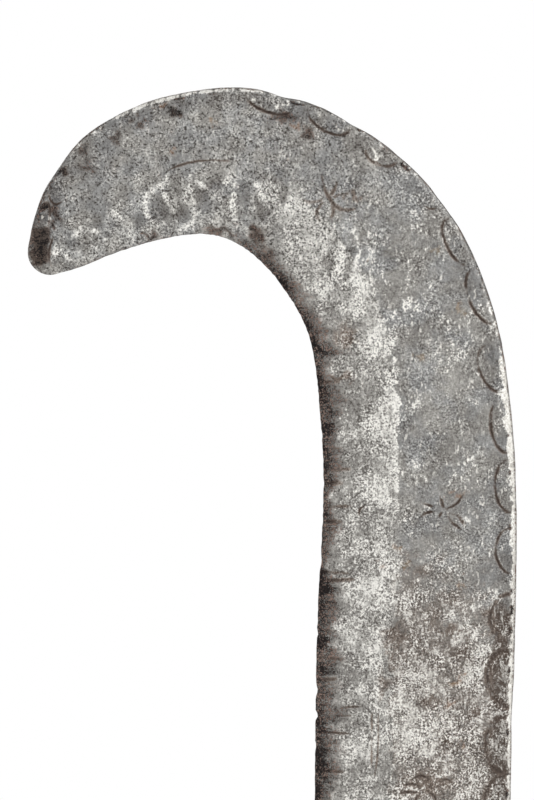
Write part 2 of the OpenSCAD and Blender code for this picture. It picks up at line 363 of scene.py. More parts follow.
even = np.linspace(0, 1, COLUMNS + 1)
column_share = even - CROWDING * np.sin(2 * np.pi * even) / (2 * np.pi)
lattice = edge[:, None] + (spine - edge)[:, None] * column_share[None, :, None]
bow = np.array([0] + [shoot(p, ways[-1]) for p in lattice[-1, 1:-1]] + [0])
rise = ease(row_at, row_at[-1] - TIP_RUN, row_at[-1])
lattice += ways[:, None] * (rise[:, None] * bow[None, :])[..., None]
width = np.linalg.norm(spine - edge, axis=1)
print("columns", COLUMNS + 1, "across", width.min().round(1), "to", width.max().round(1), "mm")

# %% Thickness
OUTLINE_INSET = 0.2     # how far inside the outline its thickness is measured
FRONT_OF_BLADE = -50.0  # where the rays at its face start
SMOOTHINGS = 3


def half_thickness(x, z):
    """How far the CAD blade's face stands out from its middle plane."""
    hit = cad_blade.ray_cast(Vector((x * MM, FRONT_OF_BLADE * MM, z * MM)), Vector((0, 1, 0)))
    return -hit[0].y / MM


inward = middle[:, None] - lattice
reach = np.maximum(np.linalg.norm(inward, axis=2), 1e-6)
inset = lattice + inward * np.minimum(1, OUTLINE_INSET / reach)[..., None]
half = np.array([[half_thickness(x, z) for x, z in row] for row in inset])
for _ in range(SMOOTHINGS):
    half[1:-1] = (half[:-2] + 2 * half[1:-1] + half[2:]) / 4
print("half thickness", half.min().round(2), "to", half.max().round(2), "mm")


# %% [markdown]
# ## The smith's marks
# Half-moon punches run along the spine, open towards it, and flowers of curved chisel strokes sit on
# the body. A picture of them laid over the face would stay flat, so they are strokes: lines with a
# width and a depth, which later press a groove into the mesh and darken it and the iron round it,
# partly with dirt and partly with painted shade. A half moon is half an ellipse through its two horns
# and its belly, and a flower's arms are short bowed strokes. Cracks, smears across the cutting edge
# and scratches are strokes of other sizes.

# %% Half moons and flowers
HALF_MOONS = [
    ((-57, 358.7), (-50.9, 352.5), (-41.8, 352.7)), ((-36.4, 353.4), (-31, 346), (-22.7, 346)),
    ((10.5, 316.7), (9.3, 308.6), (16.7, 301)),
    ((19, 299.7), (16.8, 291), (24.3, 281.7)), ((22.6, 274.3), (20.9, 265.5), (28.3, 258.9)),
    ((26.8, 255.9), (24.7, 245.9), (30.2, 238.9)), ((30.5, 236.6), (25.9, 227.4), (31.3, 218.8)),
    ((30.9, 213.6), (26.1, 206), (31.4, 198.4)),
]
FAINT_MOONS = [((-17, 339), (-13, 334.7), (-7, 335.3))]
WORN_MOONS = [
    ((30.4, 191.6), (24.3, 183.5), (30.6, 175.7)),
    ((30.1, 172.5), (23.3, 164.5), (30.6, 153.7)), ((29.4, 150.8), (22.8, 142), (28.7, 132.2)),
    ((29, 131), (22.4, 122.5), (29, 113.5)), ((29, 111), (23.5, 103.5), (29.5, 95.5)),
]
FLOWERS = {     # strokes of three or more points round each flower's centre
    (-29.4, 323.7): [
        ((-2.4, 7.4), (-1.6, 3.1), (0.5, -0.6), (2.6, -3.3), (5.8, -4.4), (8.5, -3.7)),
        ((2.9, 5.2), (1.8, 2.6), (0.8, 1)), ((-8.5, -0.9), (-5.9, -1.6), (-2.7, -0.9)),
        ((1.8, 0.2), (4.2, 1.2), (8, 1.2)), ((-2.4, -1.7), (-4, -4.9), (-3.2, -8.1)),
        ((1.1, -2.2), (1.6, -4.9), (0.8, -7)),
    ],
    (8.4, 219.8): [
        ((-8.2, -3.4), (-6.8, -2), (-5.1, -1), (-3, -0.7)), ((-7.1, 3.1), (-5.8, 1.9), (-3, 1)),
        ((-0.7, 4.4), (-0.2, 2.4), (0.4, 0.7)), ((1.4, 0.3), (4.4, 1.7), (6.8, 4.8)),
        ((2.4, -1.2), (4.8, -2), (6.5, -3.7), (7.5, -5.1)), ((1.4, -1.7), (3.1, -4.1), (6.1, -6.6)),
        ((-0.3, -1), (-0.8, -1.8), (-1, -2.7)),
    ],
    (2.3, 128.3): [
        ((-9, -3.3), (-7.3, -2.6), (-2.7, -2.6)), ((-4.7, 1.3), (-1.3, 3), (2, 1.7)),
        ((5, 1), (7.3, 1.7), (9.3, 1)), ((-6.7, -0.3), (-4, 0.3), (-1.3, -0.7)),
        ((1, -2), (3.5, -4), (4, -7.5)), ((-1.5, -3), (-3, -5.5), (-2, -8)),
    ],
}
RUBBED_ABOVE = 300      # a flower above here is rubbed nearly away
print("half moons", sum(map(len, (HALF_MOONS, FAINT_MOONS, WORN_MOONS))), "flowers", len(FLOWERS))

# %% Cracks, scratches and dark lines round the tip's scallops
LONE_STROKES = [
    ((-19.5, 217.3), (-19, 220), (-17.4, 221.3)), ((1.6, 321.4), (4.4, 319.9), (7.4, 320.4)),
    ((-57, 335.5), (-65.5, 336), (-71.6, 336), (-78.9, 334.5), (-87, 330.5)),
    # the next three strokes are dark lines along the left and lower sides of the tip's scallops
    ((-122, 326.5), (-122.3, 323.2), (-120.6, 321.4), (-118.1, 322.3)),
    ((-125.3, 320.9), (-123, 322.3), (-122.3, 319), (-122.7, 314.4)),
    ((-122.7, 314.4), (-121.3, 310.6), (-122.4, 306.9), (-122.4, 300.8)),
    ((-26.5, 153.9), (-17.5, 154.3)), ((-29, 151), (-21.7, 151.2)), ((-32, 145.7), (-22.3, 145.2)),
]
EDGE_CRACKS = [
    ((-33, 180.2), (-27, 179.2)), ((-33, 143), (-29.5, 141)), ((-29.5, 240), (-25.5, 240.3)),
    ((-31.5, 233), (-22.5, 233.3)), ((-31.5, 228.8), (-25, 228.6)), ((-32, 220.5), (-22, 221)),
    ((-32, 216), (-25.5, 215.8)), ((-33, 199.3), (-23, 198.6)), ((-33, 196), (-21.5, 196.6)),
    ((-33, 170.5), (-25, 170)), ((-33.5, 163), (-27, 163.4)), ((-33.5, 133), (-25, 132.5)),
    ((-33, 262), (-28, 262.4)),
]
SCRATCHES = [((-15, 156), (-15.2, 134)), ((-13, 152), (-13.3, 137), (-14.2, 131))]
print("cracks", len(LONE_STROKES) + len(EDGE_CRACKS), "scratches", len(SCRATCHES))

# %% Strokes
# half width of a groove, its depth, and the share of the depth that is left at its ends
MOON_SIZE = (0.58, 0.34, 0.3)
WORN_SIZE = (0.85, 0.2, 0.6)        # the half moons low on the shaft are worn broad
PETAL_SIZE = (0.52, 0.34, 0.4)
FAINT_SIZE = (0.6, 0.2, 0.5)        # the topmost flower and one half moon are rubbed nearly away
CRACK_SIZE = (0.38, 0.28, 0.2)
EDGE_SIZE = (0.6, 0.15, 0.5)        # smeared marks across the cutting edge
SCRATCH_SIZE = (0.3, 0.08, 0.4)
MOON_STEPS = 17
LINE_STEPS = 9


def half_moon(horn, belly, other_horn):
    """Half an ellipse from horn to horn through the belly."""
    horn, belly, other_horn = (np.array(p, float) for p in (horn, belly, other_horn))
    centre = (horn + other_horn) / 2
    angle = np.linspace(0, np.pi, MOON_STEPS)[:, None]
    return centre + (horn - centre) * np.cos(angle) + (belly - centre) * np.sin(angle)


strokes = []
for moons, size in ((HALF_MOONS, MOON_SIZE), (FAINT_MOONS, FAINT_SIZE), (WORN_MOONS, WORN_SIZE)):
    strokes += [(half_moon(*moon), *size) for moon in moons]
for centre, arms in FLOWERS.items():
    size = FAINT_SIZE if centre[1] > RUBBED_ABOVE else PETAL_SIZE
    strokes += [(smooth_curve(np.array(arm) + centre, LINE_STEPS)[0], *size) for arm in arms]
for lines, size in ((LONE_STROKES, CRACK_SIZE), (EDGE_CRACKS, EDGE_SIZE), (SCRATCHES, SCRATCH_SIZE)):
    strokes += [(smooth_curve(line, LINE_STEPS)[0], *size) for line in lines]
print("strokes", len(strokes))

# %% How a stroke presses the iron
def distance(points, line):
    """The distance of each point to a line of short pieces, and how far along it that is, from 0 to 1."""
    nearest, along = np.full(len(points), np.inf), np.zeros(len(points))
    for i, (start, end) in enumerate(zip(line[:-1], line[1:])):
        step = end - start
        t = np.clip((points - start) @ step / (step @ step), 0, 1)
        gap = np.linalg.norm(points - start - t[:, None] * step, axis=1)
        along = np.where(gap < nearest, (i + t) / (len(line) - 1), along)
        nearest = np.minimum(nearest, gap)
    return nearest, along


def close_to(points, line, margin):
    """Which points lie within the line's box, widened by a margin."""
    low, high = line.min(axis=0) - margin, line.max(axis=0) + margin
    return np.flatnonzero(np.all((points > low) & (points < high), axis=1))


def ripple(points, wavelength, seed, waves=28):
    """Smooth uneven waves, between about -1 and 1, whose lengths lie around one wavelength."""
    draw = np.random.default_rng(seed)
    total = np.zeros(len(points))
    for _ in range(waves):
        heading, phase = draw.uniform(0, 2 * np.pi, 2)
        step = 2 * np.pi / (wavelength * draw.uniform(0.7, 1.5))
        total += np.cos(points @ np.array([np.cos(heading), np.sin(heading)]) * step + phase)
    return total / math.sqrt(waves)


def struck(points):
    """How deep the strokes go at each point, how high the metal stands beside them, and the dirt and
    painted shade round them.
    """
    depth, burr, dirt_and_shade = (np.zeros(len(points)) for _ in range(3))
    for line, width, deep, ends in strokes:
        near = close_to(points, line, 5 * width)
        off, along = distance(points[near], line)
        off = off / width
        force = deep * (ends + (1 - ends) * np.sin(np.pi * along**1.4))
        force *= np.clip(0.95 + 0.45 * ripple(points[near], 8, 61), 0.5, 1.2)
        depth[near] = np.maximum(depth[near], force * np.clip(1 - off, 0, 1) ** 1.2)
        burr[near] = np.maximum(burr[near], force * np.exp(-((off - 1.5) / 0.55) ** 2))
        # dirt and painted shade: a soft dark halo round each groove, partly dirt and partly the groove's
        # painted shadow
        dirt_and_shade[near] = np.maximum(dirt_and_shade[near], force / deep * np.exp(-((off / 1.1) ** 2)))
    return depth, burr, dirt_and_shade


print("deepest stroke", struck(np.concatenate([line for line, *_ in strokes]))[0].max().round(2), "mm")


# %% [markdown]
# ## Dents and crests
# On the hook the hammer has left shallow bowls, with crests of metal pushed up between them. A
# sculpting brush could press them in one by one. Here a bowl is an oval and a crest is a short line,
# both listed, so that the same few numbers shape the mesh, choose where it needs finer faces,
# and later tell the finish where the iron is dark or rubbed bright.

# %% Dents and crests
# a bowl is its place, half width and half height
DENTS = [
    (-80.7, 326, 3.4, 2.8), (-85.9, 320, 3.4, 4.8), (-92.4, 316, 3.0, 2.8), (-72, 324, 3.4, 3.8),
    (-67.3, 328.4, 3.0, 2.2), (-58.4, 325.5, 2.8, 4.2), (-112.1, 308, 4.0, 3.2), (-78.2, 318.2, 2.5, 3.6),
    (-51.6, 318.6, 2.0, 3.0), (-44.5, 324, 2.2, 3.2), (-105.9, 314.8, 1.8, 1.8),
    (-101.9, 314.4, 1.7, 2.0), (-103.8, 311.5, 2.0, 1.4), (-27.7, 308.8, 1.5, 1.6),
    (-29.6, 301.8, 2.2, 4.0), (-23.1, 299, 1.6, 3.2), (-22.1, 305.5, 1.6, 1.9),
]
TIP_SCALLOPS = [
    (-124.2, 320.9, 2.1, 1.2), (-125.2, 307.8, 3.0, 6.8), (-120, 324.2, 2.0, 3.1),
    (-124.2, 316.9, 1.4, 2.1),
]
RIDGES = [
    ((-82.7, 331.4), (-85.4, 327.8), (-89.6, 324.9), (-90.9, 321), (-88.8, 316.3), (-86.5, 314)),
    ((-85.4, 327.4), (-84.2, 323.6), (-80.8, 319)),
    ((-75.4, 331.2), (-75.6, 326), (-74.1, 320), (-75.1, 315.2)),
    ((-75.1, 330.1), (-72, 328.2), (-67.4, 323.6)), ((-65.9, 329.5), (-63.8, 328.2), (-62, 332.6)),
    ((-61.7, 328.6), (-61.1, 325.1), (-61.5, 321.7), (-60.1, 316.3)),
    ((-79.3, 312.5), (-75.8, 314.8), (-73.9, 316.7)), ((-54.4, 329), (-52.5, 326.3), (-51.3, 323.6)),
    ((-24.9, 307.8), (-25.6, 302.2), (-27.3, 297.6)),
    ((-21.2, 312), (-19.3, 306.9), (-20.7, 300.8), (-21.7, 296.1)),
    ((-102.4, 319.5), (-100.1, 318.1), (-98.2, 315.8)),
    ((-115, 310.6), (-110.3, 313), (-106.1, 312), (-103.3, 309.7)),
    ((-122, 302.7), (-121.1, 304.8), (-118.3, 305.4), (-114.8, 302.7)),
    ((-8.3, 277), (-7.4, 268), (-6.8, 256), (-6.6, 244), (-6.6, 232), (-7, 220)),
]
RIDGE_WIDTH = 0.95
RIDGE_STEPS = 13


def fade(values, near, far):
    """A smooth step from 1 at near to 0 at far."""
    return 1 - ease(values, near, far)


def from_centre(points, oval):
    """How far each point lies from the centre of an oval, where 1 is the oval's rim."""
    x, z, wide, high = oval
    return np.hypot((points[:, 0] - x) / wide, (points[:, 1] - z) / high)


def bowls(points, dents):
    """How deep each point lies in overlapping dents, and how near it is to a ridge or rim of theirs."""
    off = np.stack([from_centre(points, dent) for dent in dents])
    off.sort(axis=0)
    off = off + 0.16 * ripple(points, 3.5, 62)
    ridge = np.exp(-(((off[1] - off[0]) / 0.3) ** 2)) * fade(off[0], 1.0, 1.5)
    rim = 0.4 * np.exp(-(((off[0] - 1.22) / 0.22) ** 2))
    return np.clip(1 - off[0] ** 2 / 1.3, 0, 1), np.maximum(ridge, rim)


def crests(points):
    """How near each point is to a crest of metal that was pushed up between the dents."""
    height = np.zeros(len(points))
    for line in (smooth_curve(ridge, RIDGE_STEPS)[0] for ridge in RIDGES):
        near = close_to(points, line, 3 * RIDGE_WIDTH)
        off, along = distance(points[near], line)
        lift = np.exp(-((off / RIDGE_WIDTH) ** 2)) * (0.4 + 0.6 * np.sin(np.pi * along))
        lift *= np.clip(0.85 + 0.4 * ripple(points[near], 4, 63), 0.25, 1.2)
        height[near] = np.maximum(height[near], lift)
    return height


print("dents", len(DENTS) + len(TIP_SCALLOPS), "ridges", len(RIDGES))


# %% [markdown]
# ## The billet
# A smith starts from a flat bar, and so does the mesh: a grid of unit size is the billet. It is
# extruded twice into a closed slab, so that its rim has a middle line of points to round off. An even
# mesh that is fine enough for a groove would be far too heavy, so only the faces under the marks are
# subdivided.

# %% Slab
HALF_SLAB = 0.5         # the front lies at 0, the middle line of the rim here, and the back at twice that

bpy.ops.object.select_all(action="DESELECT")
bpy.ops.mesh.primitive_grid_add(x_subdivisions=COLUMNS, y_subdivisions=ROWS, size=1)
blade = bpy.context.object
blade.name = "forged_blade"
bpy.ops.object.mode_set(mode="EDIT")
bpy.ops.mesh.select_all(action="SELECT")
for _ in range(2):
    bpy.ops.mesh.extrude_region_move(TRANSFORM_OT_translate={"value": (0, 0, HALF_SLAB)})
bpy.ops.mesh.select_all(action="DESELECT")
bpy.ops.mesh.select_mode(type="FACE")
bpy.ops.object.mode_set(mode="OBJECT")
print("slab", len(blade.data.polygons), "faces")

# %% Finer faces under the marks
GROOVE_CUTS = 3
FINE_MARGIN = 0.75      # how far beside a groove the faces are fine
FINE_CREST = 0.12       # nearness to a crest from which they are fine
FINE_TIP = -117.5       # left of here the tip's small scallops need finer faces too


def read_points(mesh, items="vertices", field="co"):
    """All points, or all face centres, of a mesh as one array."""
    values = np.empty(len(getattr(mesh, items)) * 3)
    getattr(mesh, items).foreach_get(field, values)
    return values.reshape(-1, 3)


def on_lattice(values, points):
    """Read the lattice's values at points of the unit slab, between its rows and columns."""
    across = np.clip((points[:, 0] + 0.5) * COLUMNS, 0, COLUMNS)
    along = np.clip((points[:, 1] + 0.5) * ROWS, 0, ROWS)
    row, column = np.minimum(along.astype(int), ROWS - 1), np.minimum(across.astype(int), COLUMNS - 1)
    s, t = (along - row)[:, None], (across - column)[:, None]
    return ((1 - s) * ((1 - t) * values[row, column] + t * values[row, column + 1])
            + s * ((1 - t) * values[row + 1, column] + t * values[row + 1, column + 1]))


centres = read_points(blade.data, "polygons", "center")
under_marks = np.zeros(len(centres), bool)
spots = on_lattice(lattice, centres)
for line, groove, *_ in strokes:
    near = close_to(spots, line, FINE_MARGIN + groove)
    under_marks[near] |= distance(spots[near], line)[0] < FINE_MARGIN + groove
under_marks |= (spots[:, 0] < FINE_TIP) | (crests(spots) > FINE_CREST)
under_marks &= np.isclose(centres[:, 2], 0)
blade.data.polygons.foreach_set("select", under_marks)
bpy.ops.object.mode_set(mode="EDIT")
bpy.ops.mesh.subdivide(number_cuts=GROOVE_CUTS)
bpy.ops.object.mode_set(mode="OBJECT")
print(int(under_marks.sum()), "faces made finer, now", len(blade.data.polygons))


# %% [markdown]
# ## The hammer's work
# On the anvil the bar gets its outline and its face. Here every point of the slab moves to its place
# among the measured rows and columns, and is then worked over: the outline is worn and nicked, and the
# face gets slow waves from the hammer, dents, crests and the smith's grooves. Moving the points by a
# formula, and not by a displacement picture, keeps every mark where it was measured.

# %% Places for the slab's points
to_spine = np.broadcast_to(((spine - edge) / width[:, None])[:, None], lattice.shape)
from_edge = width[:, None] * column_share[None, :]
along_blade = np.broadcast_to(row_at[:, None], half.shape)
measures = np.stack([half, from_edge, width[:, None] - from_edge, along_blade], axis=2)

slab = read_points(blade.data)
placed = on_lattice(np.concatenate([lattice, to_spine, measures], axis=2), slab)
flat, across = placed[:, 0:2], placed[:, 2:4]
thick, edge_gap, spine_gap, run = placed[:, 4:8].T
front, rim = slab[:, 2] < HALF_SLAB / 2, np.isclose(slab[:, 2], HALF_SLAB)
print("points on the front", int(front.sum()), "on the rim", int(rim.sum()))

# %% Worn outline
# nicks in the cutting edge: height, depth and half width
NICKS = [(159.6, 0.7, 1.5), (151.2, 0.9, 1.1), (203.0, 0.35, 2.0), (178.6, 0.5, 0.9), (141.0, 0.35, 1.2),
         (228.5, 0.3, 1.4), (112.0, 0.6, 1.3), (99.0, 0.4, 1.0)]
# dips along the spine: place, depth and reach
SPINE_DIPS = [(-45.5, 357.0, 0.9, 5.0), (-21.5, 348.5, 0.65, 5.0), (-8.5, 335.8, 0.3, 3.0),
              (9, 321, 0.5, 7.0), (-120, 334, 0.8, 7.0), (-128, 315, -0.55, 6.5), (-96, 354, 0.45, 10),
              (-78, 359, 0.4, 12), (31, 150, 0.3, 9.0)]
EDGE_BULGE, SPINE_BULGE = -0.12, 0.3    # how far the rim's middle line moves towards the spine

lengthwise = np.stack([run, np.zeros_like(run)], axis=1)
wear = 0.13 * np.abs(ripple(lengthwise, 5.0, 3)) * np.exp(-edge_gap / 2.5)
for z, deep, reach in NICKS:
    wear += deep * np.exp(-((flat[:, 1] - z) / reach) ** 2) * np.exp(-edge_gap / 1.2) * (flat[:, 0] < 0)
dip = 0.06 * ripple(lengthwise, 7.0, 5) * np.exp(-spine_gap / 3)
for x, z, deep, reach in SPINE_DIPS:
    away = ((flat[:, 0] - x) ** 2 + (flat[:, 1] - z) ** 2) / reach**2
    dip += deep * np.exp(-away) * np.exp(-spine_gap / 4)
flat = flat + across * (wear - dip)[:, None]
bulge = np.where(edge_gap < spine_gap, EDGE_BULGE, SPINE_BULGE)
flat = flat + across * (bulge * rim)[:, None]
print("wear up to", wear.max().round(2), "mm, dips up to", dip.max().round(2), "mm")

# %% Hammered faces
DENT_DEPTH, REAR_DENT_DEPTH, SCALLOP_DEPTH = 0.32, 0.18, 0.3
CREST_HEIGHT = 0.15
BURR_SHARE = 0.22       # height of the metal beside a groove, as a share of its depth
REAR_DENTS = DENTS[3:9]
FULL_WORK = 1.6         # half thickness from which the work goes in fully
THIN_WORK = 0.15        # share of it that the thin edge still gets


def uneven(points, *waves):
    """The sum of a few ripples: each is a height, a wavelength and a seed."""
    return sum(height * ripple(points, wavelength, seed) for height, wavelength, seed in waves)


def only(piece):
    """Select one object and make it the active one, as a click in the viewport does."""
    if bpy.context.mode != "OBJECT":
        bpy.ops.object.mode_set(mode="OBJECT")
    bpy.ops.object.select_all(action="DESELECT")
    piece.select_set(True)
    bpy.context.view_layer.objects.active = piece


groove, burr, _ = struck(flat)
face = uneven(flat, (0.10, 24, 7), (0.045, 9, 8)) - DENT_DEPTH * bowls(flat, DENTS)[0]
face -= SCALLOP_DEPTH * bowls(flat, TIP_SCALLOPS)[0]
face += CREST_HEIGHT * crests(flat) + BURR_SHARE * burr - groove
rear = uneven(flat, (0.11, 26, 17), (0.05, 9, 18)) - REAR_DENT_DEPTH * bowls(flat, REAR_DENTS)[0]
worked = np.where(front, face, rear) * np.clip(thick / FULL_WORK, THIN_WORK, 1)
depth = np.where(front, -(thick + worked), thick + worked)
depth[rim] = 0
forged = np.stack([flat[:, 0], depth, flat[:, 1]], axis=1) * MM
blade.data.vertices.foreach_set("co", forged.ravel())
only(blade)
bpy.ops.object.mode_set(mode="EDIT")
bpy.ops.mesh.select_all(action="SELECT")
bpy.ops.mesh.normals_make_consistent(inside=False)
bpy.ops.object.mode_set(mode="OBJECT")
print("blade", len(forged), "points, box", forged.min(axis=0).round(4), forged.max(axis=0).round(4))


# %% [markdown]
# ## Neck and tang
# Neck and tang are forged in one with the blade: a flat bar with the rivet holes and the hang hole
# through it. The CAD solid already has that form exactly, so a copy of it is merged, eased along its
# sharp edges, cut off just under the heel, run on a little way inside the heel, and joined to the blade
# by a boolean union.

# %% Neck and tang
MERGE_WITHIN = 1e-6         # metres
CUT_BELOW_HEEL = 0.6
ROOT_IN_HEEL = 4.0
EASED_EDGE = 0.35
FLAT_ANGLE, ARRIS_ANGLE = math.radians(0.5), math.radians(60)
IRON_SMOOTH = math.radians(40)      # edges flatter than this are shaded smooth


def merged_copy(node, name):
    """A copy of a CAD piece, with its loose triangles merged into one mesh."""
    piece = bpy.data.objects.new(name, nodes[node].data.copy())
    scene.collection.objects.link(piece)
    only(piece)
    bpy.ops.object.mode_set(mode="EDIT")
    bpy.ops.mesh.select_all(action="SELECT")
    bpy.ops.mesh.remove_doubles(threshold=MERGE_WITHIN)
    bpy.ops.object.mode_set(mode="OBJECT")
    return piece


def apply_modifier(piece, kind, **settings):
    """Add a modifier, set it up and apply it."""
    only(piece)
    modifier = piece.modifiers.new(kind.lower(), kind)
    for name, value in settings.items():
        setattr(modifier, name, value)
    bpy.ops.object.modifier_apply(modifier=modifier.name)


tang = merged_copy("blade", "tang_bar")
bpy.ops.object.mode_set(mode="EDIT")
bpy.ops.mesh.select_mode(type="EDGE")
bpy.ops.mesh.select_all(action="SELECT")
bpy.ops.mesh.dissolve_limited(angle_limit=FLAT_ANGLE)
bpy.ops.mesh.select_all(action="DESELECT")
bpy.ops.mesh.edges_select_sharp(sharpness=ARRIS_ANGLE)
bpy.ops.mesh.bevel(offset=EASED_EDGE * MM, segments=2)
bpy.ops.mesh.select_all(action="SELECT")
bpy.ops.mesh.bisect(plane_co=(0, 0, (HEEL - CUT_BELOW_HEEL) * MM), plane_no=(0, 0, 1), use_fill=True,
                    clear_outer=True)
bpy.ops.mesh.select_mode(type="FACE")
bpy.ops.mesh.extrude_region_move(TRANSFORM_OT_translate={"value": (0, 0, ROOT_IN_HEEL * MM)})
bpy.ops.mesh.select_all(action="SELECT")
bpy.ops.mesh.normals_make_consistent(inside=False)
bpy.ops.object.mode_set(mode="OBJECT")

apply_modifier(blade, "BOOLEAN", operation="UNION", solver="EXACT", object=tang)
bpy.data.objects.remove(tang)
bpy.ops.object.shade_smooth_by_angle(angle=IRON_SMOOTH)
print("blade with tang", len(blade.data.vertices), "points,", len(blade.data.polygons), "faces")


# %% [markdown]
# ## Where the iron is bare, brown or rusty
# The photograph shows grey iron that is rubbed bright on the bevel and low on the shaft, crusted dark
# brown along the cutting edge, and rusty in spots. A noise alone would scatter such patches anywhere.
# They could be painted on by hand, but a list of ovals is easier to correct: each has a place and two
# half widths.

# %% Patches that were worn or rubbed bright, and painted highlights on the spine and the tip
LIGHT_PATCHES = [
    (-21.6, 286.9, 5.1, 3.3), (-12.3, 283.1, 3.3, 5.1), (-13.7, 275.6, 6.5, 2.6), (-17, 271.4, 3.7, 2.0),
    (-8.6, 263.5, 1.2, 8.4), (-9.5, 256, 2.6, 5.6), (-13.2, 247.6, 6.5, 4.2), (-22.1, 244.8, 4.2, 2.6),
    (-9.5, 232.1, 2.8, 5.1), (-15.6, 229.8, 4.2, 4.4), (-13.7, 225, 6.0, 4.0), (-24, 223.6, 3.7, 2.8),
    (-17, 207.2, 8.4, 3.2), (-8.1, 200.7, 4.5, 5.0), (-16, 190.8, 10, 5.2), (-5.7, 189.9, 4.2, 3.7),
    (-2.5, 215.2, 1.2, 5.6), (-3.4, 287.3, 2.8, 2.4), (9.7, 282.7, 1.4, 2.8), (17.2, 281.7, 1.1, 2.8),
    (-2, 267.7, 3.3, 2.8), (4.6, 259.3, 1.9, 2.8), (-1.1, 254.6, 2.8, 2.3), (14.8, 250.8, 1.7, 2.8),
    (5, 210, 2.3, 1.9), (14.4, 209.6, 1.4, 2.4), (9.2, 202, 3.7, 1.9), (24.2, 216.6, 1.9, 1.9),
    (19, 187.5, 2.5, 1.5), (10.2, 184.8, 2.6, 2.6), (21.5, 175.5, 2.2, 6.0), (-21.6, 179.2, 8.0, 4.0),
    (-1.1, 164.2, 6.0, 3.7), (-3, 147, 7.0, 12.0), (-7, 284, 3.0, 6.0), (-15, 303, 3.5, 4.0),
    (-25.5, 211.5, 2.2, 3.4), (19.5, 165.6, 2.8, 2.8), (24.7, 173.6, 1.9, 2.4), (-51.6, 326.5, 1.9, 2.8),
    (-44.6, 321.8, 3.3, 4.7), (-38.9, 313, 3.7, 2.8), (-36.1, 302, 6.0, 9.0), (-31, 292, 3.5, 4.0),
    (-31.9, 318.1, 1.7, 2.6), (-20.7, 309.7, 1.7, 3.3), (-17.9, 295.6, 5.1, 3.7),
    (-60.7, 330.7, 1.4, 1.9), (-61.5, 318.1, 1.4, 2.6), (-124.2, 317.4, 1.1, 2.4), (8, 113, 5.0, 5.0),
    (-14, 108, 6.0, 7.0),
]
PALE_AREAS = [(13, 206, 12, 6.0), (-58, 338, 13, 6.0), (6, 262, 9.0, 14), (-38, 312, 5.0, 6.0)]
# glints: painted highlights on the spine's rim and on the tip, each a place and two half widths
SPINE_GLINTS = [
    (-44.6, 354.3, 3.3, 1.2), (-54.5, 357.6, 2.0, 0.9), (-26.3, 346.8, 2.6, 1.2),
    (-31.5, 352.4, 2.4, 0.9), (-6.2, 336.6, 2.2, 1.0), (-0.6, 331, 1.9, 1.3), (-13.7, 337.7, 1.1, 1.4),
]
TIP_GLINTS = [(-124.2, 316.9, 1.2, 1.9)]
# rim of the spine from heel to tip, partly rubbed bare and partly a painted highlight on its chamfer:
# share of the way, width and brightness
SPINE_RIM_WEAR_AND_HIGHLIGHT = [
    (0, 0.85, 0.85), (0.2, 0.9, 0.85), (0.3, 1.0, 0.82), (0.37, 1.3, 0.8), (0.44, 1.9, 0.8),
    (0.49, 2.1, 0.75), (0.53, 1.4, 0.45), (0.57, 1.0, 0.3), (0.64, 0.9, 0.3), (0.7, 0.7, 0.32),
    (0.75, 0.8, 0.42), (0.8, 0.9, 0.6), (0.83, 1.5, 0.62), (0.855, 2.0, 0.68), (0.88, 1.5, 0.54),
    (0.9, 1.0, 0.36), (0.94, 0.8, 0.3), (0.965, 0.8, 0.28), (1, 0.7, 0.2),
]
print("bright patches", len(LIGHT_PATCHES), "glints", len(SPINE_GLINTS) + len(TIP_GLINTS))

# %% Patches that went dark, brown or rusty
DARK_PATCHES = [
    (-45, 334.5, 2.8, 1.9), (-16.5, 317.2, 3.0, 1.6), (-97.7, 328.3, 1.5, 2.1), (-19.8, 280.3, 4.0, 3.4),
    (-2.9, 275.2, 5.4, 3.8), (3.6, 279.4, 5.6, 3.3), (-15.5, 268.2, 5.6, 2.2), (-14, 259.7, 5.4, 2.8),
    (-5.7, 261.6, 1.4, 3.7), (-20.2, 232.6, 5.0, 3.2), (-8.5, 212.4, 5.1, 3.4), (-17.4, 212.8, 2.4, 2.4),
    (-4.8, 225, 2.2, 4.2), (20.5, 199.3, 6.0, 6.0), (13.4, 193.2, 5.6, 2.8), (6, 182.9, 2.6, 4.2),
    (-1.1, 207.7, 2.3, 2.8), (1.7, 199.7, 2.8, 2.3), (0.8, 173.1, 2.8, 2.8), (13.9, 171.7, 2.8, 2.8),
    (-1.1, 149.3, 3.7, 1.9), (-6.7, 141.8, 2.8, 2.8), (17, 250, 5.5, 12.0), (2, 240.5, 7.0, 4.5),
    (-33, 334, 8.0, 6.0), (-23, 256, 3.5, 2.2), (-27, 166, 3.0, 4.0), (3.6, 128.6, 9.0, 4.5),
]
BROWN_PATCHES = [
    (-120.6, 317.6, 1.9, 4.2), (-110.8, 339, 2.6, 2.3), (-109.7, 333.8, 2.2, 2.8),
    (-99.8, 343.6, 1.7, 2.8), (-92.1, 348.5, 5.0, 1.3), (-80.4, 351.8, 1.8, 1.6),
    (-44.6, 350.4, 5.5, 1.7), (-36.6, 344.8, 2.8, 2.0), (-65, 312.6, 6.0, 1.6), (-89, 311.2, 3.0, 1.1),
    (-53.5, 310.5, 3.5, 3.5), (-50, 304, 3.0, 4.5),
]
STAINS = [
    (-6.7, 177.3, 5.6, 3.7), (11.6, 179.2, 4.5, 2.8), (-9.6, 173.5, 1.1, 4.5), (-11.4, 160.5, 1.1, 5.0),
    (-7.6, 167.5, 2.3, 1.9), (25.5, 182, 3.0, 6.0), (25, 163, 3.0, 8.0), (5, 156.3, 3.5, 2.8),
    (11.1, 154.4, 3.0, 2.4), (19.5, 151.6, 3.4, 3.0), (10.6, 142.7, 3.4, 3.0), (26, 145, 3.0, 6.0),
    (3.6, 128.6, 9.0, 4.2), (-21, 323.5, 2.4, 2.2), (-26, 263.5, 5.6, 1.3), (-24, 277, 3.5, 4.5),
    (10, 112, 6.0, 4.0),
]
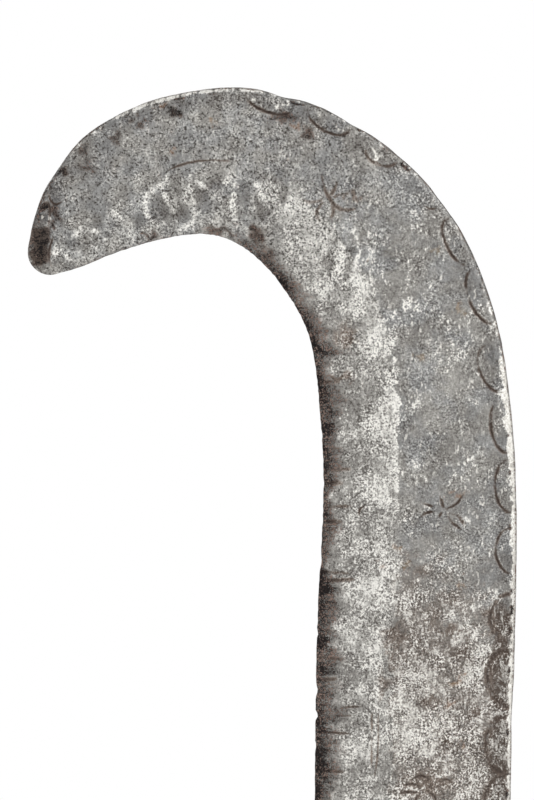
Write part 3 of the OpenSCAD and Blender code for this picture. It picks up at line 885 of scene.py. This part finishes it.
RUST_SPOTS = [
    (-3.6, 201.6, 0.9, 2.0), (-2, 198.3, 0.8, 1.4), (-7.1, 207.2, 1.5, 1.0), (-12.3, 201.1, 1.0, 1.6),
    (14.8, 195.1, 1.6, 2.3), (13, 162.4, 1.9, 1.4), (15.3, 164.7, 1.5, 1.0), (11.6, 155.6, 2.0, 1.0),
    (14.8, 142.5, 1.6, 1.2), (0.8, 270, 1.4, 1.8), (13, 224.7, 3.0, 0.9), (14.4, 286.9, 1.4, 2.3),
    (-40.3, 347.6, 1.7, 1.3), (-44, 336.8, 1.0, 1.0), (-15.6, 302.2, 0.9, 1.2), (-49.7, 348.5, 1.2, 1.0),
    (5.5, 306, 1.8, 1.4), (-84.6, 354.1, 1.8, 1.6), (-68.3, 349, 1.2, 1.5), (-81.3, 339.1, 0.9, 1.2),
    (26, 112, 1.6, 1.4), (10, 96, 1.6, 2.0),
]
TIP_CRUST = [
    (-126, 310.2, 3.7, 4.3), (-125.6, 304.8, 3.4, 4.6), (-117.4, 332, 1.1, 1.2),
    (-124.4, 320.5, 1.6, 0.9),
]
# dark crust along the cutting edge: height and reach
EDGE_CRUST = [(83, 8), (170, 8), (187, 7.5), (203, 5), (232, 5), (250, 8), (280, 7), (300, 5)]
print("dark and brown patches", len(DARK_PATCHES) + len(BROWN_PATCHES), "rust spots", len(RUST_SPOTS))


# %% [markdown]
# ## Shares on the mesh
# Patches, dents, grooves and the distances to edge and spine now become a few numbers for each point of
# the blade, from 0 to 1: how bare the metal is, how pale its patina, how stained, pitted, crusted or
# rusty, and where a highlight and shade are painted along the spine and round the grooves. They are
# stored as attributes, which the finish reads. That keeps them where they belong on the blade in every
# view, which a texture tied to the camera would not.

# %% Zones of the blade
EVERY_THIRD = slice(None, None, 3)
BEVEL_END = (24.5, 25.5)        # distances from the edge between which the bevel stops


def blots(points, patches, crisp=2):
    """Oval patches, soft at first and crisper as crisp grows."""
    total = np.zeros(len(points))
    for patch in patches:
        total = np.maximum(total, np.exp(-(from_centre(points, patch) ** crisp)))
    return total


points = read_points(blade.data) / MM
flat = points[:, [0, 2]]
on_front = points[:, 1] < 0
edge_gap = distance(flat, edge[EVERY_THIRD])[0]
spine_gap, up_spine = distance(flat, spine[EVERY_THIRD])
up_the_edge, up_the_spine = flat * [0.25, 1], flat * [0.4, 1]
wandering = flat + 1.1 * np.stack([ripple(flat, 4.5, 71), ripple(flat, 4.5, 72)], axis=1)
patchy = uneven(flat, (0.5, 13, 23), (0.35, 5, 24))

in_hook, hook_end = ease(-flat[:, 0], 40, 62), ease(-flat[:, 0], 96, 122)
inner_hook = in_hook * fade(edge_gap, 9, 24)
below_heel = fade(flat[:, 1], HEEL - 2, HEEL + 1)
low_shaft = fade(flat[:, 1] + 0.55 * flat[:, 0] + 12 * patchy, 185, 219)
# the bevel's end is ragged low on the shaft
crest_gap = edge_gap + (0.15 + 1.5 * fade(flat[:, 1], 190, 224)) * ripple(flat, 4.0, 74)
bevel_zone = fade(crest_gap, *BEVEL_END) * (1 - in_hook)
rubbed_band = ease(edge_gap, 4, 15) * bevel_zone
crest = np.exp(-(((edge_gap - 21) / 4) ** 2)) * bevel_zone
shaft_face = low_shaft * (1 - bevel_zone)
print("share of the bevel", bevel_zone.mean().round(2), "of the low shaft", low_shaft.mean().round(2))

# %% Bare metal, and the spine's rim, rubbed bare and painted with a highlight
groove, burr, dirt_and_shade = struck(flat)
burr, dirt_and_shade = burr * on_front, dirt_and_shade * on_front
dent, ridge = (value * on_front for value in bowls(flat, DENTS + TIP_SCALLOPS))
dent = ease(dent, 0.0, 0.9)
ridge = np.maximum(0.35 * ridge, crests(flat) * on_front)
light, dark, browned = (blots(wandering, patches, 3) for patches in
                        (LIGHT_PATCHES, DARK_PATCHES, BROWN_PATCHES))

bare = np.maximum.reduce([np.full(len(flat), 0.12), 0.22 * bevel_zone + 0.13 * rubbed_band + 0.18 * crest,
                          (0.48 - 0.07 * bevel_zone) * low_shaft, 0.3 * inner_hook])
bare += 0.1 * patchy + 0.3 * light - 0.24 * dark * (1 - light)
# bare metal is also held back where the dirt and painted shade round the grooves lie
bare += 0.95 * ridge - 0.3 * dent - 0.1 * hook_end - (0.2 + 0.7 * low_shaft) * dirt_and_shade

# the spine's rim is partly rubbed bare and partly a painted highlight, where its chamfer faces the light
# from the upper right; the glints are painted highlights too
at, rim_width, rim_bright = np.array(SPINE_RIM_WEAR_AND_HIGHLIGHT).T
rim_bright = np.interp(up_spine, at, rim_bright)
rim_width = np.interp(up_spine, at, rim_width)
rim_width *= 1 + uneven(up_the_spine, (0.3, 9, 29), (0.2, 3.5, 30))
rim_wear_and_highlight = rim_bright * fade(spine_gap, 0.6 * rim_width, 1.6 * rim_width + 0.5)
rim_wear_and_highlight = np.maximum(rim_wear_and_highlight, 0.62 * blots(wandering, SPINE_GLINTS + TIP_GLINTS, 3))
print("bare share", bare.mean().round(2), "shine share", rim_wear_and_highlight.mean().round(2))

# %% Patina, stains, and the dirt and painted shade round the grooves
moon_band = ease(spine_gap, rim_width + 0.3, rim_width + 1.3) * fade(spine_gap, 5.0, 8.5)
pitted = 0.8 * ease(flat[:, 1] - 0.35 * flat[:, 0], 300, 345) + 0.55 * bevel_zone + 0.3 * dent
pitted += 0.32 * shaft_face
cool = 0.42 * (1 - bevel_zone) * (1 - low_shaft)
patina = 0.515 + 0.05 * light - 0.03 * dark + 0.05 * patchy - 0.16 * dent + 0.13 * ridge - 0.07 * hook_end
patina += 0.06 * blots(flat, PALE_AREAS, 3) + 0.05 * crest + 0.055 * pitted
# the burr term lightens the raised metal beside the grooves: a painted highlight
patina += 0.25 * burr - 0.045 * shaft_face - (0.1 + 0.11 * low_shaft) * moon_band

tip_scale = blots(flat + 0.5 * (wandering - flat), TIP_CRUST, 5) * on_front
# the stain share also carries the dirt and painted shade round the grooves
stain_and_shade = np.maximum.reduce([blots(wandering, STAINS), 0.47 * shaft_face + 0.27 * moon_band * low_shaft,
                           dirt_and_shade, 0.48 * browned, 0.9 * tip_scale])
print("patina", patina.mean().round(2), "stain share", stain_and_shade.mean().round(2))

# %% Crust, and painted shade along the spine's outer edge
at, crust_reach = np.array(EDGE_CRUST).T
crust_reach = np.interp(flat[:, 1], at, crust_reach)
crust_reach *= 1 + uneven(up_the_edge, (0.2, 17, 31), (0.22, 4.5, 32))
edge_crust = np.clip(0.74 - 0.6 * edge_gap / np.maximum(crust_reach, 2.0), 0, 1)
edge_crust *= 1 - 0.9 * ease(-flat[:, 0], 48, 66)
edge_line = 0.6 * np.exp(-edge_gap / 0.8) * (1 - 0.6 * in_hook)
tip_crust = tip_scale * (0.38 + 0.12 * ripple(flat, 3.0, 34))
tip_rim = 0.36 * ease(-flat[:, 0], 112, 122) * fade(spine_gap, 0.5, 2.4)
# painted shade: a thin dark line along the spine's outermost edge, where its rounded rim turns away from
# the light
spine_rim_shade = (0.3 + 0.08 * in_hook) * fade(spine_gap, 0.25, 0.65)
spine_chips = 0.62 * ease(ripple(up_the_spine, 5, 33), 0.5, 1.0)
spine_chips *= np.exp(-(((spine_gap - rim_width - 0.5) / 0.6) ** 2))
# the crust share also carries the painted shade line along the spine
crust_and_shade = np.maximum.reduce([edge_crust, edge_line, tip_crust, tip_rim, spine_rim_shade, spine_chips,
                           0.42 * browned, 0.5 * below_heel])
print("crust share", crust_and_shade.mean().round(2))

# %% Store the shares
DARKEST_GROOVE = MOON_SIZE[1] / 1.3     # depth from which a groove is as dark as it gets


def store(piece, name, values):
    """Keep one number for each point of a mesh."""
    piece.data.attributes.new(name, "FLOAT", "POINT").data.foreach_set("value", np.clip(values, 0, 1))


blade_shares = {
    "bare": bare * (1 - 0.7 * below_heel),
    "patina": patina,
    "stain_and_shade": stain_and_shade,
    "pitted": pitted,
    "cool": cool,
    "rim_wear_and_highlight": rim_wear_and_highlight * (1 - below_heel),
    "crust_and_shade": crust_and_shade,
    "groove": np.where(on_front, groove / DARKEST_GROOVE, 0),
    "rust": blots(wandering, RUST_SPOTS),
}
for name, values in blade_shares.items():
    store(blade, name, values)
print("stored", ", ".join(blade_shares))


# %% [markdown]
# ## Old iron
# Old iron is a grey patina that wears through in two ways. Where it is pitted, as on the bevel and the
# hook, it is rubbed: a soft bright grain with dark pits left in it, dark partly with oxide and partly
# with painted shade. On the smooth body it is flaked, with ragged bright islands and small flecks.
# Above that lie the rim of the spine, partly rubbed bare and partly painted with a highlight, the dark
# crust along the edge, a painted shade line along the spine's outer edge, rust, and the grooves, which
# are darkened partly by dirt and partly by painted shade. Each is one more colour laid over the last,
# and its share from the mesh is roughened by noise first, so that no patch shows the outline of its
# oval.

# %% Grain of the iron
finish, tree, shader, place = new_finish("old_forged_iron")
share = {name: measure(tree, name) for name in blade_shares}
drawn_down = stretch(place, (1, 1, 0.62))
broad = minus(noise(drawn_down, 5.0, 5.0, 0.7), 0.5)
ragged = minus(noise(drawn_down, 1.2, 3.0, 0.65), 0.5)
streak = minus(noise(stretch(place, (0.35, 1, 2.0)), 2.2, 3.0, 0.6), 0.5)
grainy = between(noise(place, 6.0, 3.0, 0.65), 0.4, 0.6, 0.35, 1.3)
speck = times(minus(noise(place, 0.65, 1.5, 0.75), 0.5), grainy)
cloud = noise(place, 15, 2.0, 0.5)
pits = between(noise(place, 0.8, 1.5, 0.7), 0.55, 0.66)
print("grain from", len(tree.nodes), "nodes")

# %% Grey patina
tone = add(share["patina"], between(cloud, 0.3, 0.7, -0.05, 0.05), times(broad, 0.55), times(ragged, 0.4))
dots = smaller(speck, between(share["pitted"], 0, 0.8, 0.4, 0.035))
tone = add(tone, times(dots, 1.6))
grey = ramp(tone, (0.0, 58, 53, 50), (0.25, 99, 94, 90), (0.5, 143, 140, 135), (0.75, 182, 179, 173),
            (1.0, 217, 214, 208))
cool_grey = ramp(tone, (0.0, 53, 54, 56), (0.5, 137, 139, 141), (1.0, 212, 214, 216))
cool_spots = between(noise(place, 9.0, 2.0, 0.6), 0.42, 0.62)
grey = mix(times(cool_spots, share["cool"]), grey, cool_grey)
umber = ramp(tone, (0.25, 78, 66, 58), (0.5, 112, 98, 88), (0.75, 152, 138, 126))
# the umber lays in the stains, and also the dirt and painted shade round the grooves
stain_and_shade_cover = add(share["stain_and_shade"], add(broad, ragged))
grey = mix(between(stain_and_shade_cover, 0.16, 0.58, 0, 0.85), grey, umber)
print("patina from", len(tree.nodes), "nodes")

# %% Rubbed and flaked metal
bright = ramp(tone, (0.25, 162, 158, 152), (0.5, 211, 207, 200), (0.7, 246, 243, 237))
worn = times(minus(share["bare"], 0.5), 0.42)
mottle = add(times(broad, 0.95), times(ragged, 0.75), times(speck, 0.85))
rubbed = add(times(mottle, 0.6), times(speck, 0.7))
rubbed = between(add(worn, rubbed), -0.11, 0.27, 0, 0.95)
flaked = between(add(worn, mottle), 0.0, 0.11, 0, 0.95)
fleck = between(noise(stretch(place, (1, 1, 0.45)), 1.0, 1.5, 0.6), 0.585, 0.66)
gathered = between(noise(drawn_down, 6.0, 2.0, 0.6), 0.45, 0.57)
flaked = larger(flaked, times(fleck, gathered))
iron = mix(between(share["pitted"], 0, 0.8), mix(flaked, grey, bright), mix(rubbed, grey, bright))
# dark pits: partly oxide in them, partly painted shade
iron = mix(times(pits, between(share["pitted"], 0, 0.8, 0.3, 0.92)), iron, tint(60, 54, 50))
print("bare metal from", len(tree.nodes), "nodes")

# %% Spine rim with its painted highlight, crust and painted rim shade, rust, and grooves with dirt and painted shade
# painted highlight: the spine's rim and the glints are laid in near white, over metal that is partly
# rubbed bare there
rim_highlight_white = ramp(tone, (0.25, 176, 171, 163), (0.5, 230, 226, 218), (0.7, 252, 250, 245))
rim_highlight_cover = add(share["rim_wear_and_highlight"], times(add(broad, ragged), 1.4))
iron = mix(between(rim_highlight_cover, 0.42, 0.58, 0, 0.92), iron, rim_highlight_white)

# the brown crust colour also paints the shade line along the spine's outer edge
brown = ramp(add(tone, times(speck, 2.6)), (0.36, 12, 9, 9), (0.64, 33, 25, 23), (0.9, 124, 106, 97))
crust_and_shade_cover = add(times(broad, 0.5), times(streak, 0.6), times(speck, 3.4))
crust_and_shade_cover = between(add(share["crust_and_shade"], crust_and_shade_cover), 0.14, 0.48)
crust_and_shade_cover = times(crust_and_shade_cover, between(share["crust_and_shade"], 0.05, 0.25))
iron = mix(crust_and_shade_cover, iron, brown)

rust = ramp(cloud, (0.42, 142, 98, 62), (0.58, 132, 106, 66))
rusty = add(share["rust"], times(ragged, 2.0))
iron = mix(between(rusty, 0.35, 0.9, 0, 0.48), iron, rust)

# the grooves are darkened partly by dirt and partly by painted shade, which stands for the shadow the flat
# light would not cast in them
groove_dirt_and_shade = add(share["groove"], times(ragged, 1.2))
groove_dirt_and_shade = times(between(groove_dirt_and_shade, 0.08, 0.9, 0, 0.82), between(share["groove"], 0.02, 0.2))
iron = mix(groove_dirt_and_shade, iron, tint(56, 45, 40))
print("old iron from", len(tree.nodes), "nodes")

# %% Sheen and relief of the iron
dull = larger(crust_and_shade_cover, groove_dirt_and_shade)
feed(iron, shader.inputs["Base Color"])
feed(between(dull, 0, 1, 0.65, 0.1), shader.inputs["Metallic"])
feed(between(add(dull, tone), 0.2, 1.2, 0.45, 0.8), shader.inputs["Roughness"])
shader.inputs["Specular IOR Level"].default_value = 0.22
relief(minus(ragged, times(pits, 0.4)), 0.15, 0.5, shader)
blade.data.materials.clear()
blade.data.materials.append(finish)
print("old iron on", blade.name)


# %% [markdown]
# ## The wooden cheeks
# Two cheeks of wood clasp the tang. A hand has rounded every arris on them, and a bevel would round
# them all alike. So a copy of each CAD cheek is turned into a fine even mesh by a voxel remesh and
# smoothed, which rolls its edges over as wear does. Slow waves of the carver's knife and a few dings
# are then pressed into its face. Smoothing also blurs the seats of the roves, so they and the hang hole
# are bored again, crisp.

# %% Cheeks
VOXEL = 0.75
RIVETS = sum(name.startswith("rivet_") for name in nodes)
SEAT_EASE = 0.15
HANG_RADIUS = 4.0
HANG_PLACE = (-2.0, -46.0)
PAST_CHEEK = 20.0       # how far out the cutters reach
ALONG_Y = (math.radians(90), 0, 0)      # turns an upright cylinder along Y
WOOD_SMOOTH = math.radians(38)
# a ding is its place, half width and half height
DINGS = [(-8.5, 41, 1.7, 1.1), (9, 4, 1.1, 2.4), (-10, -19, 1.3, 2.0), (8.5, -39, 1.6, 1.1),
         (-6.5, 18.5, 0.9, 1.8), (8, 22, 0.9, 1.6), (-9.5, -57, 2.0, 1.2), (5, -56.5, 1.2, 1.6),
         (7.5, 58, 1.8, 1.2)]
DING_DEPTH = 0.45


def box_of(node):
    """Lowest and highest corner of a CAD node, in millimetres."""
    low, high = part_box(node)
    return np.array(low) / MM, np.array(high) / MM


def bore(radius, x, z, low, high):
    """A cylinder along Y, to cut with."""
    bpy.ops.object.select_all(action="DESELECT")
    bpy.ops.mesh.primitive_cylinder_add(vertices=48, radius=radius * MM, depth=abs(high - low) * MM,
                                        location=(x * MM, (low + high) / 2 * MM, z * MM), rotation=ALONG_Y)
    return bpy.context.object


def carve(piece, sign):
    """Press waves and dings into the face of a cheek, but not at the tang or the foot of the butt."""
    shape, outward = read_points(piece.data) / MM, read_points(piece.data, field="normal")
    face = shape[:, [0, 2]] * [-sign, 1]
    carved = 0.2 * ripple(face * [1, 0.45], 11, 81) + 0.06 * ripple(face, 4, 82)
    carved -= DING_DEPTH * bowls(face, DINGS)[0]
    carved *= ease(np.abs(shape[:, 1]), 4.5, 7) * ease(shape[:, 2] - shape[:, 2].min(), 0.5, 4)
    piece.data.vertices.foreach_set("co", ((shape + outward * carved[:, None]) * MM).ravel())


def cheek(side, sign):
    """A worn cheek made from the CAD one on that side of the tang."""
    piece = merged_copy("cheek_" + side, "worn_cheek_" + side)
    apply_modifier(piece, "REMESH", mode="VOXEL", voxel_size=VOXEL * MM)
    apply_modifier(piece, "SMOOTH", factor=0.5, iterations=5)
    carve(piece, sign)
    cutters = []
    for i in range(1, RIVETS + 1):
        low, high = box_of(f"rove_{side}_{i}")
        seat = min(low[1] * sign, high[1] * sign) * sign
        radius = (high[0] - low[0]) / 2 + SEAT_EASE
        cutters.append(bore(radius, 0, (low[2] + high[2]) / 2, seat, PAST_CHEEK * sign))
    cutters.append(bore(HANG_RADIUS, *HANG_PLACE, 0, PAST_CHEEK * sign))
    for cutter in cutters:
        apply_modifier(piece, "BOOLEAN", operation="DIFFERENCE", solver="EXACT", object=cutter)
        bpy.data.objects.remove(cutter)
    only(piece)
    bpy.ops.object.shade_smooth_by_angle(angle=WOOD_SMOOTH)
    piece.data.materials.clear()
    return piece


cheeks = {side: cheek(side, sign) for side, sign in (("front", -1), ("back", 1))}
for piece in cheeks.values():
    print(piece.name, len(piece.data.polygons), "faces")


# %% [markdown]
# ## Worn wood
# The grip is ash, dark with age. Its year rings are cylinders round a heart that lies outside the
# piece, so a ring texture on Object coordinates, drawn out along the grip, gives the right figure on
# every face at once, which a flat picture could not. Fibres and pores run the same way. A hand has
# polished the middle paler, and dirt has gathered round the roves and along the tang: those two are
# shares on the mesh again.

# %% Grime and handling
GRIME_REACH = 3.5
TANG_GRIME = 1.6        # reach of the dirt along the tang

for side, piece in cheeks.items():
    points = read_points(piece.data) / MM
    x, out, z = points[:, 0], np.abs(points[:, 1]), points[:, 2]
    spread = np.hypot(x - HANG_PLACE[0], z - HANG_PLACE[1]) - HANG_RADIUS
    for i in range(1, RIVETS + 1):
        low, high = box_of(f"rove_{side}_{i}")
        spread = np.minimum(spread, np.hypot(x, z - (low[2] + high[2]) / 2) - (high[0] - low[0]) / 2)
    at_holes = np.exp(-np.clip(spread, 0, None) / GRIME_REACH)
    at_tang = np.exp(-(out - out.min()) / TANG_GRIME)
    store(piece, "grime", np.maximum(at_holes, at_tang))
    store(piece, "handled", ease(out, 8.5, 12.8) * ease(50 - np.abs(z), 0, 25))
print("grime and handling stored on", len(cheeks), "cheeks")

# %% Worn ash
LONG_GRAIN = (1, 1, 0.07)
HEART_OFFSET = (0.031, 0.018, 0)        # metres from the heart of the tree

finish, tree, shader, place = new_finish("worn_ash")
rings = tree.nodes.new("ShaderNodeTexWave")
rings.wave_type = "RINGS"
rings.rings_direction = "Z"
for socket, number in (("Scale", 90), ("Distortion", 8.0), ("Detail", 3.0), ("Detail Scale", 0.8)):
    rings.inputs[socket].default_value = number
feed(stretch(place, LONG_GRAIN, HEART_OFFSET), rings.inputs["Vector"])
sway = noise(stretch(place, (1, 1, 0.25)), 26, 2.0)
fibre = noise(stretch(place, LONG_GRAIN), 0.75, 3.0, 0.6)
pore = noise(stretch(place, (1, 1, 0.05)), 0.55, 1.0)
soil = noise(stretch(place, (1, 1, 0.5)), 13, 4.0, 0.65)

wood = ramp(rings.outputs["Fac"], (0.15, 136, 106, 77), (0.6, 112, 83, 58), (0.95, 80, 57, 40))
wood = mix(between(sway, 0.35, 0.65, 0.15, 0.65), wood, tint(94, 69, 48))
wood = mix(between(fibre, 0.35, 0.7, 0, 0.55), wood, tint(62, 43, 30))
wood = mix(between(pore, 0.6, 0.68, 0, 0.85), wood, tint(38, 27, 19))
wood = mix(between(soil, 0.5, 0.66, 0, 0.6), wood, tint(50, 37, 28))
polish = times(measure(tree, "handled"), between(sway, 0.3, 0.6, 0.4, 1))
wood = mix(between(polish, 0, 1, 0, 0.36), wood, tint(156, 120, 83))
grime = add(measure(tree, "grime"), minus(fibre, 0.5))
wood = mix(between(grime, 0.3, 1.0, 0, 0.85), wood, tint(36, 25, 18))
feed(wood, shader.inputs["Base Color"])
feed(between(minus(fibre, times(polish, 0.4)), 0, 0.8, 0.38, 0.72), shader.inputs["Roughness"])
relief(minus(times(fibre, 0.7), between(pore, 0.6, 0.72)), 0.25, 0.6, shader)
for piece in cheeks.values():
    piece.data.materials.append(finish)
print("worn ash on both cheeks")


# %% [markdown]
# ## Roves
# A rove is a washer cut from sheet iron, on which the rivet's end is hammered down so that it doesn't
# split the wood. A disc of the CAD rove's size is bored through and chamfered. It is modelled once and
# copied, and every copy is turned and knocked a little out of true by its own random draw, because no
# two are alike.

# %% Roves
low, high = box_of("rove_front_1")
ROVE_RADIUS = (high[0] - low[0]) / 2
ROVE_THICKNESS = high[1] - low[1]
ROVE_HOLE = 2.65
HOLE_REACH = 5.0        # how far the cutter reaches on each side
CHAMFER = 0.25
CHAMFER_ANGLE = math.radians(50)
ROVE_KNOCKS = 0.06
FASTENING_SMOOTH = math.radians(35)
rng = np.random.default_rng(41)

bpy.ops.object.select_all(action="DESELECT")
bpy.ops.mesh.primitive_cylinder_add(vertices=40, radius=ROVE_RADIUS * MM, depth=ROVE_THICKNESS * MM,
                                    rotation=ALONG_Y)
rove = bpy.context.object
bpy.ops.object.transform_apply(rotation=True)
hole = bore(ROVE_HOLE, 0, 0, -HOLE_REACH, HOLE_REACH)
apply_modifier(rove, "BOOLEAN", operation="DIFFERENCE", solver="EXACT", object=hole)
bpy.data.objects.remove(hole)
apply_modifier(rove, "BEVEL", width=CHAMFER * MM, segments=2, limit_method="ANGLE",
               angle_limit=CHAMFER_ANGLE)
apply_modifier(rove, "TRIANGULATE")


def knocked_copy(pattern, name, node, amount):
    """A copy with its own mesh, turned about Y, set in a CAD node's place and knocked out of true."""
    mesh = pattern.data.copy()
    piece = bpy.data.objects.new(name, mesh)
    scene.collection.objects.link(piece)
    shape = read_points(mesh) / MM
    turn = rng.uniform(0, 2 * math.pi)
    c, s = math.cos(turn), math.sin(turn)
    shape = shape @ np.array([[c, 0, s], [0, 1, 0], [-s, 0, c]])
    flat = shape[:, [0, 2]]
    waves = np.stack([ripple(flat + 9 * k, 5.0, int(rng.integers(1000))) for k in range(3)], axis=1)
    from_axis = np.clip(np.hypot(shape[:, 0], shape[:, 2]) / 4, 0, 1)[:, None]
    shape = shape + amount * waves * [1, 0.6, 1] * from_axis
    low, high = box_of(node)
    mesh.vertices.foreach_set("co", ((shape + (low + high) / 2) * MM).ravel())
    mesh.update()
    only(piece)
    bpy.ops.object.shade_smooth_by_angle(angle=FASTENING_SMOOTH)
    return piece


fastenings = []
for side in ("front", "back"):
    for i in range(1, RIVETS + 1):
        node = f"rove_{side}_{i}"
        fastenings.append((knocked_copy(rove, "hammered_" + node, node, ROVE_KNOCKS), node))
print("roves", len(fastenings), "of", len(rove.data.polygons), "faces each")
bpy.data.objects.remove(rove)


# %% [markdown]
# ## Rivets
# A rivet is a bar with both ends hammered over into domes. A sphere on a cylinder would leave a seam,
# so each end face of the shank is extruded and resized in a few steps that follow the dome's curve, and
# one level of subdivision rounds it off. The copies are knocked about as the roves were.

# %% Rivets
# steps of a head, as shares of its height and its radius
HEAD_STEPS = [(0.0, 1.0), (0.32, 1.0), (0.62, 0.93), (0.83, 0.74), (0.95, 0.45), (1.0, 0.16)]
low, high = box_of("rivet_1")
HEAD_RADIUS = (high[0] - low[0]) / 2
HEAD_HEIGHT = 1.9
SHANK_RADIUS = 2.5
RIVET_KNOCKS = 0.09
head_seat = high[1] - HEAD_HEIGHT

bpy.ops.object.select_all(action="DESELECT")
bpy.ops.mesh.primitive_cylinder_add(vertices=32, radius=SHANK_RADIUS * MM, depth=2 * head_seat * MM,
                                    rotation=ALONG_Y)
rivet = bpy.context.object
bpy.ops.object.transform_apply(rotation=True)
for sign in (-1, 1):
    previous, reached = SHANK_RADIUS, 0.0
    for height, spread in HEAD_STEPS:
        bpy.ops.object.mode_set(mode="EDIT")
        bpy.ops.mesh.select_mode(type="FACE")
        bpy.ops.mesh.select_all(action="DESELECT")
        bpy.ops.object.mode_set(mode="OBJECT")
        end_face = max(rivet.data.polygons, key=lambda f: f.center.y * sign + (len(f.vertices) > 4))
        end_face.select = True
        bpy.ops.object.mode_set(mode="EDIT")
        lift_by = (height - reached) * HEAD_HEIGHT * sign * MM
        bpy.ops.mesh.extrude_region_move(TRANSFORM_OT_translate={"value": (0, lift_by, 0)})
        widen = spread * HEAD_RADIUS / previous
        bpy.ops.transform.resize(value=(widen, 1, widen), center_override=(0, 0, 0))
        bpy.ops.object.mode_set(mode="OBJECT")
        previous, reached = spread * HEAD_RADIUS, height
apply_modifier(rivet, "TRIANGULATE")
apply_modifier(rivet, "SUBSURF", levels=1, render_levels=1)
for i in range(1, RIVETS + 1):
    node = f"rivet_{i}"
    fastenings.append((knocked_copy(rivet, "peened_" + node, node, RIVET_KNOCKS), node))
bpy.data.objects.remove(rivet)
print("fastenings", len(fastenings), "each head", round(HEAD_RADIUS, 2), "mm")


# %% [markdown]
# ## Dark fastenings
# Rivets and roves are wrought iron, blackened by the wood's acid, with a bloom of rust and pale high
# points where hands rub over them. One plain dark grey would look like plastic. The Geometry node's
# Pointiness knows the high points of a mesh, so the rubbed places need no painting.

# %% Dark fastenings
finish, tree, shader, place = new_finish("peened_iron")
pitting = noise(place, 0.8, 3.0, 0.6)
bloom = noise(place, 3.5, 2.0)
high_points = tree.nodes.new("ShaderNodeNewGeometry").outputs["Pointiness"]
dark = ramp(pitting, (0.3, 48, 43, 40), (0.55, 88, 83, 78), (0.75, 140, 134, 126))
dark = mix(between(bloom, 0.52, 0.68, 0, 0.75), dark, tint(104, 66, 42))
dark = mix(between(high_points, 0.5, 0.56, 0, 0.55), dark, tint(176, 172, 164))
feed(dark, shader.inputs["Base Color"])
feed(between(bloom, 0.5, 0.7, 0.75, 0.25), shader.inputs["Metallic"])
feed(between(pitting, 0.3, 0.7, 0.42, 0.7), shader.inputs["Roughness"])
relief(pitting, 0.15, 0.5, shader)
for piece, _ in fastenings:
    piece.data.materials.clear()
    piece.data.materials.append(finish)
print("peened iron on", len(fastenings), "fastenings")


# %% [markdown]
# ## Handing the pieces to the frame
# Each new piece rides on the frame's one body, and the CAD node that it replaces is hidden.

# %% Ride and replace
def triangles(piece):
    """How many triangles a piece's faces come to."""
    return sum(len(face.vertices) - 2 for face in piece.data.polygons)


stand_ins = [(blade, "forged_iron", "blade")]
stand_ins += [(piece, "grip_wood", "cheek_" + side) for side, piece in cheeks.items()]
stand_ins += [(piece, "rivet_iron", node) for piece, node in fastenings]
for piece, slot, node in stand_ins:
    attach(piece, "root")
    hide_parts(node)
print("blade triangles", triangles(blade))
print("pieces", len(stand_ins), "triangles", sum(triangles(piece) for piece, _, _ in stand_ins))
